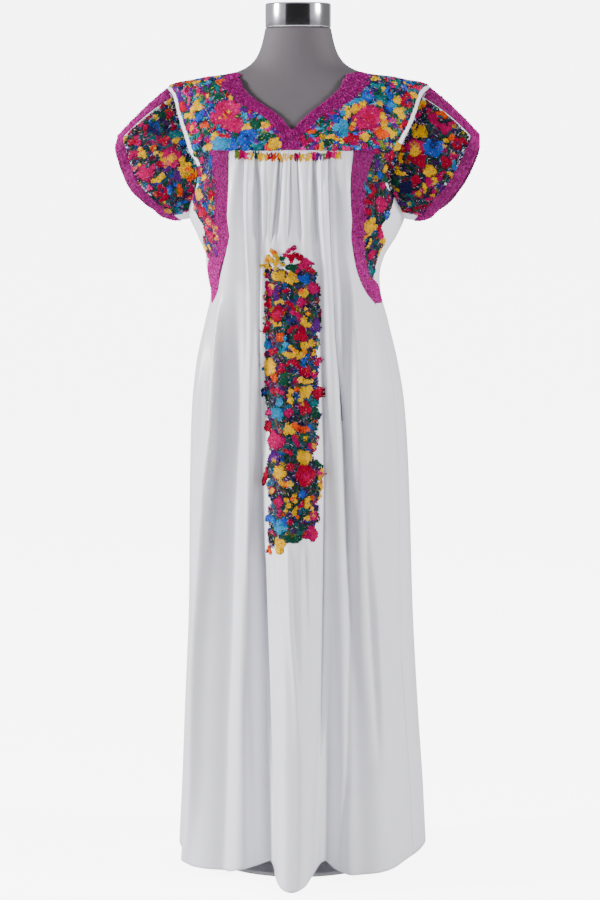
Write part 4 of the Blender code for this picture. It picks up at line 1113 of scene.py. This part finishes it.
def crochet(name, points, seed, outward, closed=False):
    """Rows of V stitches in yarn, along the length of an open band or round a closed one."""
    rng = np.random.default_rng(seed)
    if not closed:
        points = np.swapaxes(points, 0, 1)
    normals = Ground(points, outward).normals
    rows = len(points)
    span = np.linalg.norm(points[-1] - points[0], axis=-1)
    lines = max(2, int(round(np.median(span) / CROCHET_ROW)))
    across = (points[-1] - points[0]) / lines
    if closed:
        points, normals, across = (np.concatenate([part, part[..., :1, :]], -2)
                                   for part in (points, normals, across))
    starts, ends, facings = [], [], []
    for line in range(lines):
        v = (line + 0.5) / lines * (rows - 1)
        i = min(int(v), rows - 2)
        path = points[i] * (1 - v + i) + points[i + 1] * (v - i)
        facing = unit(normals[i] * (1 - v + i) + normals[i + 1] * (v - i))
        run = np.concatenate([[0], np.cumsum(np.linalg.norm(np.diff(path, axis=0), axis=-1))])
        count = max(2, int(run[-1] / CROCHET_PITCH))
        at = (np.arange(count) + 0.25 * (line % 2) + rng.uniform(-0.22, 0.22, count)) * run[-1] / count

        def read(values, where):
            where = np.mod(where, run[-1]) if closed else np.clip(where, 0, run[-1])
            return np.stack([np.interp(where, run, values[:, k]) for k in range(3)], -1)

        low, high = at + CROCHET_PITCH * 0.5, at + CROCHET_PITCH * 1.275
        for lean in (-1, 1):
            sway = read(across, low) * 0.52 * lean
            starts.append(read(path, low) - sway * 0.12)
            ends.append(read(path, high) + sway)
            facings.append(read(facing, low))
    start, end, facing = np.vstack(starts), np.vstack(ends), unit(np.vstack(facings))
    size = len(start)
    tones, shares = np.array([linear(code) for code in YARN_TONES]), list(YARN_TONES.values())
    tint = tones[rng.choice(len(tones), size, p=shares)] * rng.uniform(0.55, 1.2, (size, 1))
    end = end + rng.normal(0, 0.35, (size, 3))
    width, height = rng.uniform(1.2, 1.8, size), rng.uniform(0.9, 2.1, size)
    return add_stitches(name, start, end, facing, width, height, WALL / 2 + 0.15, tint, YARN)


# ---------------- the dress
for label, rows, columns in (("front", 230, 165), ("back", 170, 120)):
    cloth(label + "_cloth", [panel_grid(label == "front", rows, columns)], COTTON,
                          [label + "_panel"])
cloth("yoke_cloth", [yoke_grid(26, 40, 34)], PALE_SATIN, ["yoke"])
neck_points = neck_grid(9, 90)
# the neck band's cloth is painted darker: painted shade between the crochet stitches
cloth("neck_crochet_shaded_ground", [neck_points], CROCHET_SHADED_GROUND,
                       ["neck_band"], closed=True)
crochet("neck_crochet", neck_points, 11, from_axis, closed=True)
side_points = side_grids()
band_points = band_grid(110, 12)
strip_points = arm_strip_grid(5, 150)
sleeve_points = sleeve_grid(34, 130, top_edge, lambda s: 360 - top_edge(s))
top_points = sleeve_grid(34, 14, lambda s: -top_edge(s), top_edge)
cuff_points = cuff_grid(7, 150)
wide_top = sleeve_grid(34, 20, lambda s: -top_edge(s) - TOP_SPREAD, lambda s: top_edge(s) + TOP_SPREAD)
wide_cuff = cuff_grid(9, 150, CUFF_SPREAD)
for label, mirrored in SIDES:
    flip = MIRROR if mirrored else 1
    cloth("side_cloth_" + label, side_points, COTTON,
                                    ["side_panel_" + label], mirrored=mirrored)
    cloth("armhole_cloth_" + label, [strip_points], COTTON,
                                   ["armhole_strip_" + label], True, mirrored)
    cloth("sleeve_cloth_" + label, [sleeve_points], COTTON,
                                      ["sleeve_" + label], mirrored=mirrored)
    for part, points, worked, closed, outward in (
            ("band_front", band_points, band_grid(110, 16, band_spread[label]), False, from_axis),
            ("sleeve_top_strip", top_points, wide_top, False, from_sleeve),
            ("sleeve_hem_band", cuff_points, wide_cuff, True, from_sleeve)):
        key, worked = part + "_" + label, worked * flip
        # the band's cloth is painted darker: painted shade between the crochet stitches
        cloth(key + "_ground", [points], CROCHET_SHADED_GROUND, [key], closed,
                            mirrored)
        crochet(key + "_crochet", worked, 21 + mirrored, outward, closed)
        # a dark sheet just under the crochet stitches: painted shade seen between them
        underlay(key + "_shade_sheet", Ground(worked, outward), CROCHET_SHADED_GROUND, closed=closed)

# a finer yoke grid, cut in two along the tops of the shoulders
foot, arm = 96, 76
quarter = foot + arm
yoke_points = yoke_grid(64, foot, arm)
before = Ground(np.hstack([yoke_points[:, -quarter - 1:], yoke_points[:, 1:quarter + 1]]), from_axis)
behind = Ground(yoke_points[:, quarter:-quarter], from_axis)
embroider("yoke_front_embroidery", before, 101, BLOOMS["yoke"], deep=YOKE_DEPTH)
embroider("yoke_back_embroidery", behind, 102, dense=0.8, deep=YOKE_DEPTH)

sleeve_front = sleeve_grid(48, 100, lambda s: top_edge(s) + 10 + 4 * s, lambda s: 166 - 9 * s, 0.945)
sleeve_back = sleeve_grid(48, 100, lambda s: 350 - top_edge(s) - 4 * s, lambda s: 194 + 9 * s, 0.945)
for label, mirrored in SIDES:
    flip = MIRROR if mirrored else 1
    seed = 7 if mirrored else 3
    before, behind = Ground(sleeve_front * flip, from_sleeve), Ground(sleeve_back * flip, from_sleeve)
    beside = Ground(side_flower_grid(SIDE_FOOT[label]) * flip, from_axis)
    across = Ground(strip_flower_grid(*STRIP_COVER[label]) * flip, from_axis)
    for part, ground, trim in (("sleeve_front", before, 2), ("sleeve_back", behind, 2), ("side", beside, 0),
                               ("armhole", across, 0)):
        underlay(part + "_satin_" + label, ground, SATIN, trim)
    deep = SLEEVE_DEPTH[label]
    embroider("armhole_embroidery_" + label, across, 260 + seed, gaps=(18.0, 9.0), deep=0.8)
    embroider("sleeve_front_embroidery_" + label, before, 200 + seed, BLOOMS["sleeve_" + label], deep=deep)
    embroider("sleeve_back_embroidery_" + label, behind, 220 + seed, dense=0.8, deep=deep)
    embroider("side_embroidery_" + label, beside, 240 + seed, BLOOMS["side_" + label], edge=4.0,
              deep=deep * 1.4)

host = Ground(panel_grid(True, 420, 220), from_axis)
column = Ground(column_grid(), from_axis)
underlay("skirt_satin", column, SATIN, 2)
embroider("skirt_embroidery", column, 31, BLOOMS["column"], host=host, edge=6.0, deep=0.75)


def smocked_row(host):
    """Row of upright stitches over the gathers under the yoke, in short runs of one colour."""
    rng = np.random.default_rng(9)
    x = np.arange(-76, 68, 0.8)
    count = len(x)
    x = x + rng.uniform(-0.4, 0.4, count)
    run = np.arange(count) // 9
    lean = rng.uniform(-2.6, 2.6, count)
    heights = 12.5 + rng.uniform(-6.0, 3.0, count)
    z = 1126.0 - 4 * np.cos((x + 4) / 45) + 1.2 * np.sin(run * 1.9) + rng.uniform(-1.2, 1.2, count)
    tilt = np.degrees(lean / section(z, 1))
    phi = front_angle(x, z)
    low, _, _ = host.snap(body(phi - tilt, z - heights / 2))
    high, facing, _ = host.snap(body(phi + tilt, z + heights / 2))
    tint = FLOSS_COLOURS[[FLOSS_NAMES.index(SMOCKED_TONES[k % len(SMOCKED_TONES)]) for k in run]]
    tint = tint * rng.uniform(0.6, 1.15, (count, 1))
    add_stitches("smocked_row", low, high, facing, 2.5, 1.6, WALL / 2, tint, FLOSS)


smocked_row(host)


# ---------------- the form and its stand
def torso_rings():
    """Rings of points in mm, inside the cloth and smoothed over the shoulders."""
    levels = np.concatenate([[TORSO_FOOT], np.linspace(712, 1180, 36), np.linspace(1190, FORM_TOP, 60)])
    levels, around = levels[:, None], np.arange(-180, 180, 3.75)[None, :]
    inward = body_normal(around, levels) * clearance_line(levels, 1)[..., None]
    rings = body(around, levels, False) - inward
    for _ in range(30):
        rings[38:-3] = (rings[37:-4] + 2 * rings[38:-3] + rings[39:-2]) / 4
    rings[0] *= (0.82, 0.82, 1)
    rings[0, :, 2], rings[-1, :, 2] = TORSO_FOOT, FORM_TOP
    return rings + np.stack([lean_line(levels, 1), 0 * levels, DATUM + 0 * levels], -1)


def closed_rings(name, rings):
    """Mesh through rings of points, closed by one flat face at each end."""
    index = np.arange(rings[..., 0].size).reshape(rings.shape[:2])
    nearby = np.roll(index, -1, 1)
    quads = np.stack([index[:-1], nearby[:-1], nearby[1:], index[1:]], -1).reshape(-1, 4)
    solid = bmesh.new()
    verts = [solid.verts.new(point * MM) for point in rings.reshape(-1, 3)]
    for corners in (*quads, index[0][::-1], index[-1]):
        solid.faces.new([verts[k] for k in corners])
    return to_mesh(name, solid)


def turned(name, radius, low, high, material, node_name, sides, soften, squash=1.0):
    """Upright cylinder with softened rims; squash makes it narrower from front to back."""
    solid = bmesh.new()
    bmesh.ops.create_cone(solid, cap_ends=True, segments=sides, radius1=radius * MM, radius2=radius * MM,
                          depth=(high - low) * MM)
    bmesh.ops.translate(solid, verts=solid.verts, vec=(0, 0, (low + high) / 2 * MM))
    bmesh.ops.scale(solid, verts=solid.verts, vec=(1, squash, 1))
    rims = [edge for edge in solid.edges if abs(edge.verts[0].co.z - edge.verts[1].co.z) < 1e-6]
    bmesh.ops.bevel(solid, geom=rims, offset=soften * MM, offset_type="OFFSET", affect="EDGES", segments=4,
                    profile=0.5, material=-1)
    mesh = to_mesh(name, solid, lambda face: len(face.vertices) < 9)
    return add_piece(name, mesh, material, [node_name])


add_piece("form_body", closed_rings("form_body", torso_rings()), JERSEY, ["form_torso"])
turned("neck_cap", CAP_RIM[0], NECK_TOP + DATUM, CAP_TOP + DATUM, CHROME,
       "form_neck_cap", 96, 3.0, CAP_RIM[1] / CAP_RIM[0])
turned("pole", POLE_RADIUS, BASE_HEIGHT + STAND_GAP, TORSO_FOOT + DATUM - STAND_GAP, CHROME,
       "stand_pole", 48, 0.4)
turned("base_plate", BASE_RADIUS, 0, BASE_HEIGHT, STEEL, "stand_base", 128, 1.2)

# ---------------- crochet pieces by name and size, which nothing here uses
for label, _ in SIDES:
    for part, size in (("band_front", (0.03, 0.25)), ("sleeve_top_strip", (0.03, 0.1)),
                       ("sleeve_hem_band", (0.014, 0.39))):
        key = part + "_" + label


# ---------------- studio, in metres and watts
def staged_square(name, size, paint, turn_axis=None, place=(0, 0, 0)):
    """Flat square beside the object: the floor, or an upright card that only the chrome shows."""
    square = bmesh.new()
    bmesh.ops.create_grid(square, x_segments=1, y_segments=1, size=size)
    if turn_axis:
        bmesh.ops.rotate(square, verts=square.verts, matrix=Matrix.Rotation(math.pi / 2, 3, turn_axis))
        bmesh.ops.translate(square, verts=square.verts, vec=place)
    item = new_object(name, to_mesh(name, square))
    item.data.materials.append(paint)
    item.visible_camera = item.visible_diffuse = item.visible_shadow = not turn_axis


def look_along(item, way):
    item.rotation_euler = Vector(way).to_track_quat("-Z", "Y").to_euler()


def softbox(name, place, size, watts):
    data = bpy.data.lights.new(name, "AREA")
    data.shape = "SQUARE"
    data.size, data.energy = size, watts
    item = new_object(name, data)
    item.location = place
    look_along(item, Vector((0, 0, 0.8)) - Vector(place))


staged_square("studio_floor", 30, new_material("pale_studio_floor", glowing, "e8e8ea", 0.25, 6.4))
softbox("left_softbox", (-4.56, -1.5, 2.2), 1.0, 500)
softbox("right_softbox", (4.52, -1.42, 2.4), 1.2, 290)
for name, size, glow, turn_axis, place in (("black_card", 5.2, 0.03, "X", (0.5, -6.2, 1.3)),
                                           ("grey_card", 5.0, 0.28, "Y", (5.6, 4.0, 1.3))):
    paper = new_material(name + "_paper", glowing, "0a0a0c", glow)
    staged_square(name, size, paper, turn_axis, place)

# the sky is bright to the camera, faint as a light, and in between in mirrors
world = bpy.data.worlds.new("studio")
world.use_nodes = True
tree = world.node_tree
sky = tree.nodes["Background"]
sky.inputs["Color"].default_value = (0.94, 0.94, 1.0, 1.0)
rays = node(tree, "LightPath").outputs
strength = times_plus(tree, rays["Is Camera Ray"], 6.95, 0.2)
strength = times_plus(tree, rays["Is Glossy Ray"], 0.6, strength)
tree.links.new(strength, sky.inputs["Strength"])
bpy.context.scene.world = world

camera_data = bpy.data.cameras.new("camera")
camera_data.lens = CAMERA_LENS
camera = new_object("camera", camera_data)
sine, cosine = math.sin(CAMERA_TURN), math.cos(CAMERA_TURN)
camera.location = (sine * CAMERA_DISTANCE + CAMERA_SHIFT * cosine,
                   -cosine * CAMERA_DISTANCE + CAMERA_SHIFT * sine, CAMERA_HEIGHT)
look_along(camera, (-sine * CAMERA_DISTANCE, cosine * CAMERA_DISTANCE, CAMERA_AIM - CAMERA_HEIGHT))
bpy.context.scene.camera = camera
